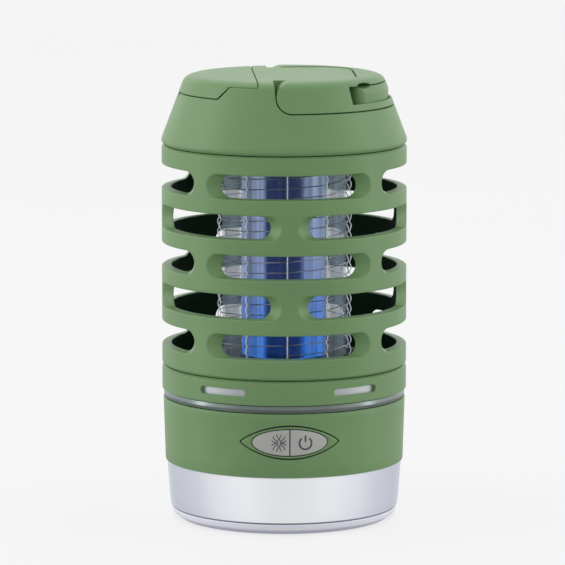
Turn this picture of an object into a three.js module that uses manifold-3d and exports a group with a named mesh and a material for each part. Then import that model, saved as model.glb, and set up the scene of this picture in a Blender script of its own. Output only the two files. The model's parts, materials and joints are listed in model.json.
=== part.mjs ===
// Camping bug zapper with a lantern foot: a slotted guard around a high-voltage wire grid and a
// UV column, a cap with a folding bail handle and a charging-port cover, and a base with two
// push buttons over a lamp ring. Millimetres, +Z up, front towards -Y, origin at the centre of
// the resting face.

import * as THREE from 'three';
import { mergeVertices } from 'three/addons/utils/BufferGeometryUtils.js';
import Module from 'manifold-3d';

const wasm = await Module();
wasm.setup();

// ---------------------------------------------------------------- driving dimensions

const GAP = 0.3; // clearance between touching pieces
const BODY_RADIUS = 44;
const OUTER_SEGMENTS = 40; // around the outer shells
const INNER_SEGMENTS = 24; // around the inner pieces

const FOOT_HEIGHT = 3.9;
const LAMP_TOP = 21.1; // top of the diffuser ring
const SHELL_TOP = 44.1; // top of the green base shell
const TRIM_TOP = 46.8; // top of the bright trim ring
const COLLAR_TOP = 55.7; // joint between collar and guard
const GUARD_TOP = 135.2; // joint between guard and cap
const CAP_TOP = 160.4;
const HANDLE_TOP = 160.7;

const JOINT_CHAMFER = 0.8; // each side of the V-grooves at the guard's two joints
const GUARD_WALL = 3.5;
const SLOT_ROWS = 5;
const SLOTS_PER_ROW = 4;
const TOP_ROW_Z = 124.2;
const ROW_PITCH = 14.15;
const SLOT_HEIGHT = 8.7;
const SLOT_END_DEPTH = 4.4; // how far a slot's rounded end reaches past its straight part
const SLOT_HALF_ANGLE_OUTER = 41.2; // degrees, at the guard's outer face
const SLOT_HALF_ANGLE_INNER = 36.4; // degrees, at the guard's inner face

const CAP_RIM_RADIUS = 44.1;
const CAP_RIM_Z = 137.3;
const CAP_SLOPE = 0.375; // radius lost per millimetre of height
const SHOULDER_DROP = 2.7; // the rounding at the cap's top edge, down the cone
const SHOULDER_REACH = 4.9; // and in along the flat top
const CAP_WALL = 2.3;
const CAP_CAVITY_TOP = 147.2;
const PORT_BAY_X = -8.8; // right side of the bay under the port cover
const PORT_BAY_TOP = 156.5;
const COVER_SEAM_X = -10.9;
const COVER_SKIRT_Z = 154.3;
const COVER_THICKNESS = 1.8;
const HINGE_X = 1.0; // handle axis, parallel to Y
const HINGE_Z = 155.3;
const EAR_RADIUS = 5.4;
const PLATEAU_HALF_WIDTH = 24.2; // fixed top inside the folded handle's loop
const PLATEAU_END_X = 24.9;
const PLATEAU_CORNER = 12.2;
const LOOP_GAP = 0.5; // between the plateau and the handle's loop
const BLOCK_RADIUS = 37.3; // fixed block under the handle's front plate
const BLOCK_HALF_ANGLE = 47;
const BLOCK_TOP = 158;
const WINDOW_HALF_ANGLE = 53.5; // opening in the handle's skirt that clears the block
const WINDOW_BOTTOM = 152.2;
const STRIP_INNER_RADIUS = 37.7;
const PIN_RADIUS = 1.5;
const PIN_LENGTH = 13.6;
const PIN_MIDDLE = 26.3; // each pin's centre, to either side
const USB_HALF_WIDTH = 4.6;
const USB_BOTTOM = 152.8;
const USB_TOP = 156.1;

const FORMER_RADIUS = 22.3; // clear tube that carries the grid wires
const RIB_COUNT = 10;
const RIB_REACH = 23.4;
const WIRE_HELIX_RADIUS = 24.05;
const WIRE_RADIUS = 0.28;
const TERMINAL_HEIGHT = 1.8;
const WIRE_PITCH = 7.5; // per turn of each of the two wires
const FORMER_BOTTOM = 59.3;
const FORMER_TOP = 131.9;
const COLUMN_RADIUS = 7.6;
const SLEEVE_RADIUS = 15.3; // clear sleeve between the lamp column and the grid
const LEAD_HOLE_RADIUS = 6.2;
const LEAD_RADIUS = 0.8; // cable from the cap's electronics down to the base
const LEAD_X = 5.1;
const LEAD_BOTTOM = 46.5;
const LEAD_TOP = 138.5;

const BUTTON_Z = 33.9;
const BEZEL_HALF_LENGTH = 18.1;
const BEZEL_HALF_HEIGHT = 5.8;
const BUTTON_HALF_LENGTH = 13.7;
const BUTTON_HALF_HEIGHT = 4.7;
const BUTTON_BACK_Y = -39.5;
const BUTTON_PROUD = 0.2; // past the shell's face
const BUTTON_SPLIT = 0.2; // half the gap between the two buttons
const BEZEL_BACK_Y = -37.9;
const VENT_AZIMUTHS = [-33, 33, 147, 213]; // degrees round from the front
const VENT_Z = 51.3;
const VENT_HEIGHT = 2.7;
const VENT_HALF_LENGTH = 9.2;

const FOOT_SCREW_CIRCLE = 24;
const CAP_SCREW_CIRCLE = 30;
const SCREWS = 3;
const LAMP_LEDS = 6;
const UV_LED_ROWS = 3;
const MAIN_BOARD_Z = 45.6; // top of the main board
const CELL_RADIUS = 9.2;
const CELL_LENGTH = 65;
const CELL_TRAY_Z = 23.6;
const DECK_THICKNESS = 2.2; // the collar's deck, which the insects fall on

// ---------------------------------------------------------------- helpers

const radians = THREE.MathUtils.degToRad;

// A point on a circle round the axis; azimuth 0 is the front and 90 the right side.
function around(radius, azimuth) {
  const angle = radians(azimuth);
  return new THREE.Vector2(radius * Math.sin(angle), -radius * Math.cos(angle));
}

// Turns a closed profile of [radius, height] pairs, given anticlockwise, round the Z axis.
function revolve(profile, segments = OUTER_SEGMENTS) {
  const first = profile[0];
  const points = profile.map(([radius, height]) => new THREE.Vector2(radius, height));
  if (first[0] > 0) points.push(points[0].clone());
  return new THREE.LatheGeometry(points, segments).rotateX(Math.PI / 2);
}

function ring(inner, outer, bottom, top, segments = INNER_SEGMENTS) {
  return revolve([[inner, bottom], [outer, bottom], [outer, top], [inner, top]], segments);
}

function disc(radius, bottom, top, segments = INNER_SEGMENTS) {
  return revolve([[0, bottom], [radius, bottom], [radius, top], [0, top]], segments);
}

function post(radius, x, y, bottom, top, segments = 12) {
  return disc(radius, bottom, top, segments).translate(x, y, 0);
}

function box(low, high) {
  const size = high.map((value, axis) => value - low[axis]);
  const middle = high.map((value, axis) => (value + low[axis]) / 2);
  return new THREE.BoxGeometry(...size).translate(...middle);
}

function prismAlongZ(shape, bottom, top, curveSegments = 6) {
  const options = { depth: top - bottom, bevelEnabled: false, curveSegments };
  return new THREE.ExtrudeGeometry(shape, options).translate(0, 0, bottom);
}

// The shape is drawn in X and Z, and reaches from front to back.
function prismAlongY(shape, front, back, curveSegments = 6) {
  const options = { depth: back - front, bevelEnabled: false, curveSegments };
  return new THREE.ExtrudeGeometry(shape, options).rotateX(Math.PI / 2).translate(0, back, 0);
}

function rodAlongY(radius, x, z, front, back, segments = 12) {
  const rod = new THREE.CylinderGeometry(radius, radius, back - front, segments);
  return rod.translate(x, (front + back) / 2, z);
}

function polygon(points) {
  return new THREE.Shape(points.map(([x, y]) => new THREE.Vector2(x, y)));
}

// A closed geometry as a solid that can be joined and cut.
function solid(geometry) {
  const bare = geometry.clone();
  bare.deleteAttribute('normal');
  bare.deleteAttribute('uv');
  const merged = mergeVertices(bare);
  const corners = merged.index.array;
  const triangles = [];
  for (let i = 0; i < corners.length; i += 3) {
    const [a, b, c] = corners.slice(i, i + 3);
    if (a !== b && b !== c && c !== a) triangles.push(a, b, c);
  }
  return new wasm.Manifold(new wasm.Mesh({
    numProp: 3,
    vertProperties: new Float32Array(merged.attributes.position.array),
    triVerts: new Uint32Array(triangles),
  }));
}

function geometryOf(body) {
  const mesh = body.getMesh();
  const geometry = new THREE.BufferGeometry();
  geometry.setAttribute('position', new THREE.BufferAttribute(mesh.vertProperties, 3));
  geometry.setIndex(new THREE.BufferAttribute(mesh.triVerts, 1));
  geometry.computeVertexNormals();
  return geometry;
}

function join(first, ...others) {
  return others.reduce((sum, geometry) => sum.add(solid(geometry)), first);
}

function cut(first, ...others) {
  return others.reduce((rest, geometry) => rest.subtract(solid(geometry)), first);
}

const FINISHES = {
  green: { color: 0x6e8a62, roughness: 0.5 },
  warmGrey: { color: 0xb5b5ae, roughness: 0.5 },
  darkGrey: { color: 0x3a3d40, roughness: 0.6 },
  white: { color: 0xeeeef0, roughness: 0.5 },
  diffuser: { color: 0xd8d9e4, roughness: 0.35, transparent: true, opacity: 0.85 },
  clear: { color: 0xc9d2dd, roughness: 0.1, transparent: true, opacity: 0.35 },
  violet: { color: 0x22307f, roughness: 0.2, transparent: true, opacity: 0.7 },
  silver: { color: 0xb9bdb9, roughness: 0.3, metalness: 0.9 },
  steel: { color: 0xc3c6c9, roughness: 0.3, metalness: 1 },
  brass: { color: 0xc7a35a, roughness: 0.35, metalness: 1 },
  board: { color: 0x1f5a3a, roughness: 0.6 },
  led: { color: 0xf4e7a0, roughness: 0.4 },
  uvLed: { color: 0x5a6cff, roughness: 0.3, emissive: 0x2030ff },
  cell: { color: 0x2f62b5, roughness: 0.4 },
};

function part(name, shape, finish) {
  const geometry = shape.isBufferGeometry ? shape : geometryOf(shape);
  const mesh = new THREE.Mesh(geometry, new THREE.MeshStandardMaterial(FINISHES[finish]));
  mesh.name = name;
  return mesh;
}

function at(mesh, x, y, z) {
  mesh.position.set(x, y, z);
  return mesh;
}

// Pan-head screw pointing up, its head's underside at z = 0.
function screw(name, length) {
  const profile = [[0, -1.2], [1.7, -1.2], [2.6, -0.4], [2.6, 0], [1.2, 0], [1.2, length], [0, length]];
  return part(name, revolve(profile, 8), 'steel');
}

// ---------------------------------------------------------------- cap

// The cap's outside as a solid: a chamfered rim, a cone and a rounded top edge.
function capSolid(top, inset = 0) {
  const radiusAt = (z) => CAP_RIM_RADIUS - CAP_SLOPE * (z - CAP_RIM_Z) - inset;
  const rim = CAP_RIM_RADIUS - inset;
  return revolve([
    [0, GUARD_TOP + GAP],
    [rim - JOINT_CHAMFER, GUARD_TOP + GAP],
    [rim, CAP_RIM_Z - 0.7],
    [radiusAt(CAP_RIM_Z + 0.4), CAP_RIM_Z + 0.4],
    [radiusAt(top - SHOULDER_DROP), top - SHOULDER_DROP],
    [radiusAt(top) - 0.1, top - 1.2],
    [radiusAt(top) - 2.1, top - 0.3],
    [radiusAt(top) - SHOULDER_REACH, top],
    [0, top],
  ]);
}

// Side view of the port cover's area, grown by a margin.
function coverOutline(margin) {
  const top = CAP_TOP - COVER_THICKNESS - margin;
  return polygon([
    [-60, COVER_SKIRT_Z - margin],
    [-24.6 + margin, COVER_SKIRT_Z - margin],
    [-21.4 + margin, top - 0.8],
    [-20.4 + margin, top],
    [COVER_SEAM_X + margin, top],
    [COVER_SEAM_X + margin, 170],
    [-60, 170],
  ]);
}

// The outer skin under the port cover's outline.
function coverSkin(margin) {
  const grown = CAP_TOP + margin;
  const core = capSolid(CAP_TOP - COVER_THICKNESS - margin, 2 + margin);
  const skin = solid(capSolid(grown, -margin)).subtract(solid(core));
  return skin.intersect(solid(prismAlongY(coverOutline(margin), -60, 60)));
}

function portCover() {
  return part('port_cover', coverSkin(0), 'green');
}

// Plan view of the fixed plateau inside the handle's loop, grown by a margin.
function plateauOutline(startX, margin) {
  const side = PLATEAU_HALF_WIDTH + margin;
  const end = PLATEAU_END_X + margin;
  const corner = PLATEAU_CORNER + margin;
  const shape = new THREE.Shape();
  shape.moveTo(startX, -side);
  shape.lineTo(end - corner, -side);
  shape.absarc(end - corner, -side + corner, corner, -Math.PI / 2, 0);
  shape.lineTo(end, side - corner);
  shape.absarc(end - corner, side - corner, corner, 0, Math.PI / 2);
  shape.lineTo(startX, side);
  shape.closePath();
  return shape;
}

// A wedge of a ring, symmetric about +X, as a plan outline.
function sectorOutline(inner, outer, halfAngle, steps = 10) {
  const points = [];
  for (let i = 0; i <= steps; i += 1) {
    points.push(around(outer, 90 + halfAngle - (2 * halfAngle * i) / steps));
  }
  for (let i = 0; i <= steps; i += 1) {
    points.push(around(inner, 90 - halfAngle + (2 * halfAngle * i) / steps));
  }
  return new THREE.Shape(points.reverse());
}

// Side view of the pocket that the folded handle lies in.
function pocketOutline() {
  const radius = EAR_RADIUS + 0.35;
  const floor = HINGE_Z - radius;
  const shape = new THREE.Shape();
  shape.moveTo(60, 170);
  shape.lineTo(HINGE_X - radius - 1.3, 170);
  shape.lineTo(HINGE_X - radius, HINGE_Z);
  shape.absarc(HINGE_X, HINGE_Z, radius, Math.PI, 1.5 * Math.PI);
  shape.lineTo(60, floor);
  shape.closePath();
  return shape;
}

function blockOutline() {
  return sectorOutline(PLATEAU_END_X - 8, BLOCK_RADIUS, BLOCK_HALF_ANGLE);
}

function capShell() {
  const pocketFloor = HINGE_Z - EAR_RADIUS - 1;
  const kept = solid(prismAlongZ(plateauOutline(-20, 0), pocketFloor, CAP_TOP))
    .add(solid(prismAlongZ(blockOutline(), pocketFloor, BLOCK_TOP)));
  const pocket = solid(prismAlongY(pocketOutline(), -60, 60)).subtract(kept);
  const main = capSolid(CAP_CAVITY_TOP, CAP_WALL);
  const portBay = solid(capSolid(PORT_BAY_TOP, 2 * CAP_WALL))
    .intersect(solid(box([-50, -50, 130], [PORT_BAY_X, 50, 170])));
  const shell = solid(capSolid(CAP_TOP))
    .subtract(pocket)
    .subtract(coverSkin(GAP))
    .subtract(solid(main).intersect(solid(disc(60, 130, CAP_CAVITY_TOP))))
    .subtract(portBay);
  const bosses = [];
  const bores = [];
  for (let i = 0; i < SCREWS; i += 1) {
    const spot = around(CAP_SCREW_CIRCLE, (360 * i) / SCREWS);
    const ceiling = spot.x < PORT_BAY_X ? PORT_BAY_TOP : CAP_CAVITY_TOP;
    bosses.push(post(3.6, spot.x, spot.y, 139, ceiling + 0.2));
    bores.push(post(1.5, spot.x, spot.y, 138, CAP_CAVITY_TOP - 0.5));
  }
  return part('cap_shell', cut(
    join(shell, ...bosses),
    ...bores,
    disc(CAP_RIM_RADIUS - 3.3, 130, CAP_RIM_Z + 0.6, OUTER_SEGMENTS),
    box([-4, -16, CAP_CAVITY_TOP - 1], [21, 16, CAP_TOP - CAP_WALL]),
    box([-50, -USB_HALF_WIDTH - GAP, USB_BOTTOM - 0.2], [-28, USB_HALF_WIDTH + GAP, USB_TOP + 0.2]),
    rodAlongY(PIN_RADIUS + 0.2, HINGE_X, HINGE_Z, 19, 30),
    rodAlongY(PIN_RADIUS + 0.2, HINGE_X, HINGE_Z, -30, -19),
  ), 'green');
}

// The bail handle: two legs with round ears, a thin front plate over the block and a skirt strip.
function handle() {
  const side = new THREE.Shape();
  side.moveTo(60, HINGE_Z - EAR_RADIUS + 0.1);
  side.lineTo(60, 170);
  side.lineTo(HINGE_X, 170);
  side.lineTo(HINGE_X, HINGE_Z + EAR_RADIUS);
  side.absarc(HINGE_X, HINGE_Z, EAR_RADIUS, Math.PI / 2, 1.5 * Math.PI);
  side.lineTo(HINGE_X, HINGE_Z - EAR_RADIUS + 0.1);
  side.closePath();
  const body = solid(capSolid(HANDLE_TOP)).intersect(solid(prismAlongY(side, -60, 60)));
  const window = sectorOutline(5, 60, WINDOW_HALF_ANGLE, 4);
  const strip = sectorOutline(5, STRIP_INNER_RADIUS, WINDOW_HALF_ANGLE, 12);
  return part('handle', cut(
    body,
    prismAlongZ(plateauOutline(-30, LOOP_GAP), 120, 170),
    prismAlongZ(window, WINDOW_BOTTOM, BLOCK_TOP + 0.4),
    prismAlongZ(strip, 140, WINDOW_BOTTOM + 0.1),
    rodAlongY(PIN_RADIUS + 0.2, HINGE_X, HINGE_Z, -33.5, -20),
    rodAlongY(PIN_RADIUS + 0.2, HINGE_X, HINGE_Z, 20, 33.5),
  ), 'green');
}

function handlePin(name, sign) {
  const pin = part(name, new THREE.CylinderGeometry(PIN_RADIUS, PIN_RADIUS, PIN_LENGTH, 12), 'steel');
  return at(pin, HINGE_X, sign * PIN_MIDDLE, HINGE_Z);
}

function capAssembly() {
  const group = new THREE.Group();
  const floorHoles = [post(LEAD_HOLE_RADIUS, 0, 0, 130, 140)];
  for (let i = 0; i < SCREWS; i += 1) {
    const spot = around(CAP_SCREW_CIRCLE, (360 * i) / SCREWS);
    floorHoles.push(post(1.5, spot.x, spot.y, 130, 140));
    group.add(at(screw(`cap_screw_${i + 1}`, 10), spot.x, spot.y, GUARD_TOP + 0.2));
  }
  const floor = solid(disc(CAP_RIM_RADIUS - 3.7, GUARD_TOP + 0.5, CAP_RIM_Z + 0.5, OUTER_SEGMENTS));
  group.add(
    capShell(),
    part('cap_floor', cut(floor, ...floorHoles), 'darkGrey'),
    handle(),
    handlePin('handle_pin_front', -1),
    handlePin('handle_pin_rear', 1),
    portCover(),
    part('charge_board', box([-32, -11, 151], [-10, 11, 152.4]), 'board'),
    usbSocket(),
  );
  return group;
}

function usbSocket() {
  const lip = 0.5;
  const side = USB_HALF_WIDTH - lip;
  const middle = (USB_BOTTOM + USB_TOP) / 2;
  const shell = solid(box([-34.7, -USB_HALF_WIDTH, USB_BOTTOM], [-27.6, USB_HALF_WIDTH, USB_TOP]));
  const mouth = box([-36, -side, USB_BOTTOM + lip], [-29, side, USB_TOP - lip]);
  const tongue = box([-34.1, -3.2, middle - 0.35], [-28.5, 3.2, middle + 0.35]);
  return part('usb_socket', join(cut(shell, mouth), tongue), 'steel');
}

// ---------------------------------------------------------------- guard and grid

// One slot's cutter, facing the front: a curved bar with slanted ends, and two slanted
// half-round noses that round its ends off.
function slotCutter(z, azimuth) {
  const reach = 2; // past both faces of the wall
  const outer = BODY_RADIUS;
  const inner = BODY_RADIUS - GUARD_WALL;
  const toDegrees = THREE.MathUtils.radToDeg(1);
  const outerEnd = around(outer, SLOT_HALF_ANGLE_OUTER - (SLOT_END_DEPTH / outer) * toDegrees);
  const innerEnd = around(inner, SLOT_HALF_ANGLE_INNER - (SLOT_END_DEPTH / inner) * toDegrees);
  const slant = outerEnd.clone().sub(innerEnd).normalize();
  const far = outerEnd.clone().addScaledVector(slant, 1.6 * reach);
  const near = innerEnd.clone().addScaledVector(slant, -1.6 * reach);
  const outline = [far, near];
  const farAngle = Math.atan2(far.x, -far.y) * toDegrees;
  const nearAngle = Math.atan2(near.x, -near.y) * toDegrees;
  const steps = 8;
  for (let i = 1; i < steps; i += 1) {
    outline.push(around(near.length(), nearAngle - (2 * nearAngle * i) / steps));
  }
  outline.push(new THREE.Vector2(-near.x, near.y), new THREE.Vector2(-far.x, far.y));
  for (let i = 1; i < steps; i += 1) {
    outline.push(around(far.length(), -farAngle + (2 * farAngle * i) / steps));
  }
  const half = SLOT_HEIGHT / 2;
  const bar = prismAlongZ(new THREE.Shape(outline.reverse()), z - half, z + half);
  const tilt = Math.atan2(slant.x, -slant.y);
  const reachAcross = SLOT_END_DEPTH * Math.cos(tilt - Math.atan2(outerEnd.x, -outerEnd.y));
  const noses = [-1, 1].map((side) => {
    const nose = new THREE.CylinderGeometry(1, 1, far.distanceTo(near), 12);
    nose.scale(reachAcross, 1, half).rotateZ(side * tilt);
    return nose.translate((side * (far.x + near.x)) / 2, (far.y + near.y) / 2, z);
  });
  const turn = radians(azimuth);
  return [bar, ...noses].map((piece) => piece.rotateZ(turn));
}

function guardCage() {
  const inner = BODY_RADIUS - GUARD_WALL;
  const bottom = COLLAR_TOP + GAP;
  let cage = solid(revolve([
    [inner, bottom],
    [BODY_RADIUS - JOINT_CHAMFER, bottom],
    [BODY_RADIUS, bottom + JOINT_CHAMFER],
    [BODY_RADIUS, GUARD_TOP - JOINT_CHAMFER],
    [BODY_RADIUS - JOINT_CHAMFER, GUARD_TOP],
    [inner, GUARD_TOP],
  ]));
  const step = 360 / SLOTS_PER_ROW;
  for (let row = 0; row < SLOT_ROWS; row += 1) {
    const offset = row % 2 === 0 ? 0 : step / 2;
    for (let i = 0; i < SLOTS_PER_ROW; i += 1) {
      cage = cut(cage, ...slotCutter(TOP_ROW_Z - row * ROW_PITCH, offset + i * step));
    }
  }
  return part('guard_cage', cage, 'green');
}

function gridFormer() {
  const tube = solid(ring(FORMER_RADIUS - 1, FORMER_RADIUS, FORMER_BOTTOM, FORMER_TOP, 40));
  const ribs = [];
  for (let i = 0; i < RIB_COUNT; i += 1) {
    const rib = box([-0.6, -RIB_REACH, FORMER_BOTTOM], [0.6, -FORMER_RADIUS + 0.6, FORMER_TOP]);
    ribs.push(rib.rotateZ((2 * Math.PI * i) / RIB_COUNT));
  }
  return part('grid_former', join(tube, ...ribs), 'clear');
}

// A wire wound round the ribs, straight from rib to rib.
class WoundWire extends THREE.Curve {
  constructor(start, turns, bottom) {
    super();
    Object.assign(this, { start, turns, bottom });
  }

  getPoint(t, target = new THREE.Vector3()) {
    const turned = t * this.turns;
    const spot = around(WIRE_HELIX_RADIUS, this.start + 360 * turned);
    return target.set(spot.x, spot.y, this.bottom + turned * WIRE_PITCH);
  }
}

function gridWire(name, start) {
  const turns = 9;
  const section = polygon([[WIRE_RADIUS, 0], [0, WIRE_RADIUS], [-WIRE_RADIUS, 0], [0, -WIRE_RADIUS]]);
  const path = new WoundWire(start, turns, FORMER_BOTTOM + 2.4);
  path.arcLengthDivisions = turns * RIB_COUNT;
  const wire = new THREE.ExtrudeGeometry(section, {
    steps: turns * RIB_COUNT,
    extrudePath: path,
    bevelEnabled: false,
  });
  return part(name, wire, 'steel');
}

// Brass tab beside a wire's end, on one of the two end plates.
function terminal(name, azimuth, z) {
  const tab = part(name, new THREE.BoxGeometry(3, 0.8, TERMINAL_HEIGHT), 'brass');
  const spot = around(25.2, azimuth);
  tab.rotation.z = radians(azimuth);
  return at(tab, spot.x, spot.y, z);
}

function uvColumn(group) {
  const bottom = FORMER_BOTTOM;
  const middle = (FORMER_BOTTOM + FORMER_TOP) / 2;
  group.add(
    part('uv_column', ring(COLUMN_RADIUS - 1.2, COLUMN_RADIUS, bottom, FORMER_TOP, 24), 'violet'),
    part('uv_led_board', box([-3.6, -0.6, bottom], [3.6, 0.6, FORMER_TOP]), 'board'),
    part('lamp_sleeve', ring(SLEEVE_RADIUS - 1, SLEEVE_RADIUS, bottom, FORMER_TOP, 24), 'clear'),
    part('riser_lead', post(LEAD_RADIUS, LEAD_X, 0, LEAD_BOTTOM, LEAD_TOP, 8), 'darkGrey'),
  );
  for (let i = 0; i < 2 * UV_LED_ROWS; i += 1) {
    const front = i % 2 === 0;
    const row = Math.floor(i / 2) - (UV_LED_ROWS - 1) / 2;
    const led = part(`uv_led_${i + 1}`, new THREE.BoxGeometry(2.8, 1.2, 3.5), 'uvLed');
    group.add(at(led, 0, (front ? -1 : 1) * 1.5, middle + row * 22));
  }
}

function guardAssembly() {
  const group = new THREE.Group();
  group.add(
    guardCage(),
    gridFormer(),
    gridWire('grid_wire_live', 0),
    gridWire('grid_wire_return', 180),
    part('grid_lower_plate', ring(LEAD_HOLE_RADIUS, 27, COLLAR_TOP + GAP, FORMER_BOTTOM - GAP), 'darkGrey'),
    part('grid_upper_plate', ring(LEAD_HOLE_RADIUS, 27, FORMER_TOP + GAP, GUARD_TOP - 1.4), 'darkGrey'),
    terminal('grid_terminal_live', 0, FORMER_BOTTOM + 1),
    terminal('grid_terminal_return', 180, FORMER_TOP - 1),
  );
  uvColumn(group);
  return group;
}

// ---------------------------------------------------------------- base

function shellRadius(z) {
  return 42.9 + (0.7 * (z - LAMP_TOP)) / (SHELL_TOP - LAMP_TOP);
}

// A pointed lens drawn from two arcs, centred on the buttons.
function lensOutline(halfLength, halfHeight) {
  const radius = (halfLength ** 2 + halfHeight ** 2) / (2 * halfHeight);
  const spread = Math.asin(halfLength / radius);
  const up = Math.PI / 2;
  const shape = new THREE.Shape();
  shape.absarc(0, BUTTON_Z + halfHeight - radius, radius, up - spread, up + spread);
  shape.absarc(0, BUTTON_Z - halfHeight + radius, radius, -up - spread, -up + spread);
  return shape;
}

// An oval centred on the buttons.
function ovalOutline(halfLength, halfHeight) {
  const shape = new THREE.Shape();
  shape.absellipse(0, BUTTON_Z, halfLength, halfHeight, 0, 2 * Math.PI);
  return shape;
}

// A plug of this outline through the shell's front, its face following the shell.
function frontPlug(outline, backY, proud) {
  const face = revolve([
    [0, LAMP_TOP],
    [shellRadius(LAMP_TOP) + proud, LAMP_TOP],
    [shellRadius(SHELL_TOP) + proud, SHELL_TOP],
    [0, SHELL_TOP],
  ]);
  return solid(prismAlongY(outline, -50, backY, 10)).intersect(solid(face));
}

function baseShell() {
  const wall = solid(revolve([
    [40.5, LAMP_TOP],
    [shellRadius(LAMP_TOP), LAMP_TOP],
    [shellRadius(SHELL_TOP), SHELL_TOP],
    [41, SHELL_TOP],
    [41, LAMP_TOP + 2.2],
    [34, LAMP_TOP + 2.2],
    [34, LAMP_TOP + 0.5],
    [40.5, LAMP_TOP + 0.5],
  ]));
  const opening = lensOutline(BEZEL_HALF_LENGTH + GAP, BEZEL_HALF_HEIGHT + GAP);
  return part('base_shell', cut(wall, prismAlongY(opening, -50, -30, 10)), 'green');
}

function buttonBezel() {
  const plug = frontPlug(lensOutline(BEZEL_HALF_LENGTH, BEZEL_HALF_HEIGHT), BEZEL_BACK_Y, 0);
  const opening = ovalOutline(BUTTON_HALF_LENGTH + GAP, BUTTON_HALF_HEIGHT + GAP);
  return part('button_bezel', cut(plug, prismAlongY(opening, -50, -30, 10)), 'green');
}

function button(name, side) {
  const outline = ovalOutline(BUTTON_HALF_LENGTH, BUTTON_HALF_HEIGHT);
  const plug = frontPlug(outline, BUTTON_BACK_Y, BUTTON_PROUD);
  const edge = side * BUTTON_SPLIT;
  const low = Math.min(edge, side * 30);
  const high = Math.max(edge, side * 30);
  const half = solid(box([low, -60, LAMP_TOP], [high, -30, SHELL_TOP]));
  return part(name, plug.intersect(half), 'warmGrey');
}

function tactSwitch(name, x) {
  const body = solid(box([-3, -37.4, -3], [3, -34.3, 3]));
  const switchBody = join(body, rodAlongY(1.6, 0, 0, -38.4, -37, 10));
  return at(part(name, switchBody, 'darkGrey'), x, 0, BUTTON_Z);
}

function baseCollar() {
  const wall = solid(revolve([
    [41, TRIM_TOP + GAP],
    [BODY_RADIUS, TRIM_TOP + GAP],
    [BODY_RADIUS, COLLAR_TOP - JOINT_CHAMFER],
    [BODY_RADIUS - JOINT_CHAMFER, COLLAR_TOP],
    [7.5, COLLAR_TOP],
    [7.5, COLLAR_TOP - DECK_THICKNESS],
    [41, COLLAR_TOP - DECK_THICKNESS],
  ]));
  const vents = VENT_AZIMUTHS.map((azimuth) => {
    const end = VENT_HEIGHT / 2;
    const straight = VENT_HALF_LENGTH - end;
    const slot = new THREE.Shape();
    slot.absarc(straight, VENT_Z, end, -Math.PI / 2, Math.PI / 2);
    slot.absarc(-straight, VENT_Z, end, Math.PI / 2, 1.5 * Math.PI);
    return prismAlongY(slot, -50, -38, 4).rotateZ(radians(azimuth));
  });
  return part('base_collar', cut(wall, ...vents), 'green');
}

function footPlate() {
  const plate = solid(revolve([
    [0, 1.2],
    [29.5, 1.2],
    [30.5, 0],
    [37.4, 0],
    [39.3, 0.8],
    [41, FOOT_HEIGHT],
    [38.3, FOOT_HEIGHT],
    [38.3, 5.5],
    [0, 5.5],
  ]));
  const holes = [];
  for (let i = 0; i < SCREWS; i += 1) {
    const spot = around(FOOT_SCREW_CIRCLE, (360 * i) / SCREWS);
    holes.push(post(1.5, spot.x, spot.y, 0, 8), post(3, spot.x, spot.y, 0, 3));
  }
  return part('foot_plate', cut(plate, ...holes), 'diffuser');
}

function reflector() {
  const cone = solid(revolve([[0, 5.8], [36, 5.8], [36, 6.8], [10, 15.5], [0, 16.5]], INNER_SEGMENTS));
  const holes = [];
  for (let i = 0; i < SCREWS; i += 1) {
    const spot = around(FOOT_SCREW_CIRCLE, (360 * i) / SCREWS);
    holes.push(post(1.5, spot.x, spot.y, 5, 9.6));
  }
  return part('lamp_reflector', cut(cone, ...holes), 'white');
}

function batteryHolder() {
  const inside = CELL_RADIUS + GAP;
  const outside = inside + 1.5;
  const tray = new THREE.Shape();
  tray.moveTo(-outside, 14);
  tray.lineTo(-outside, 0);
  tray.lineTo(outside, 0);
  tray.lineTo(outside, 14);
  tray.lineTo(inside, 14);
  tray.lineTo(inside, 1.5);
  tray.lineTo(-inside, 1.5);
  tray.lineTo(-inside, 14);
  const body = prismAlongY(tray, -30, 30).rotateZ(Math.PI / 2);
  return at(part('battery_holder', body, 'darkGrey'), 0, 13, CELL_TRAY_Z);
}

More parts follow.
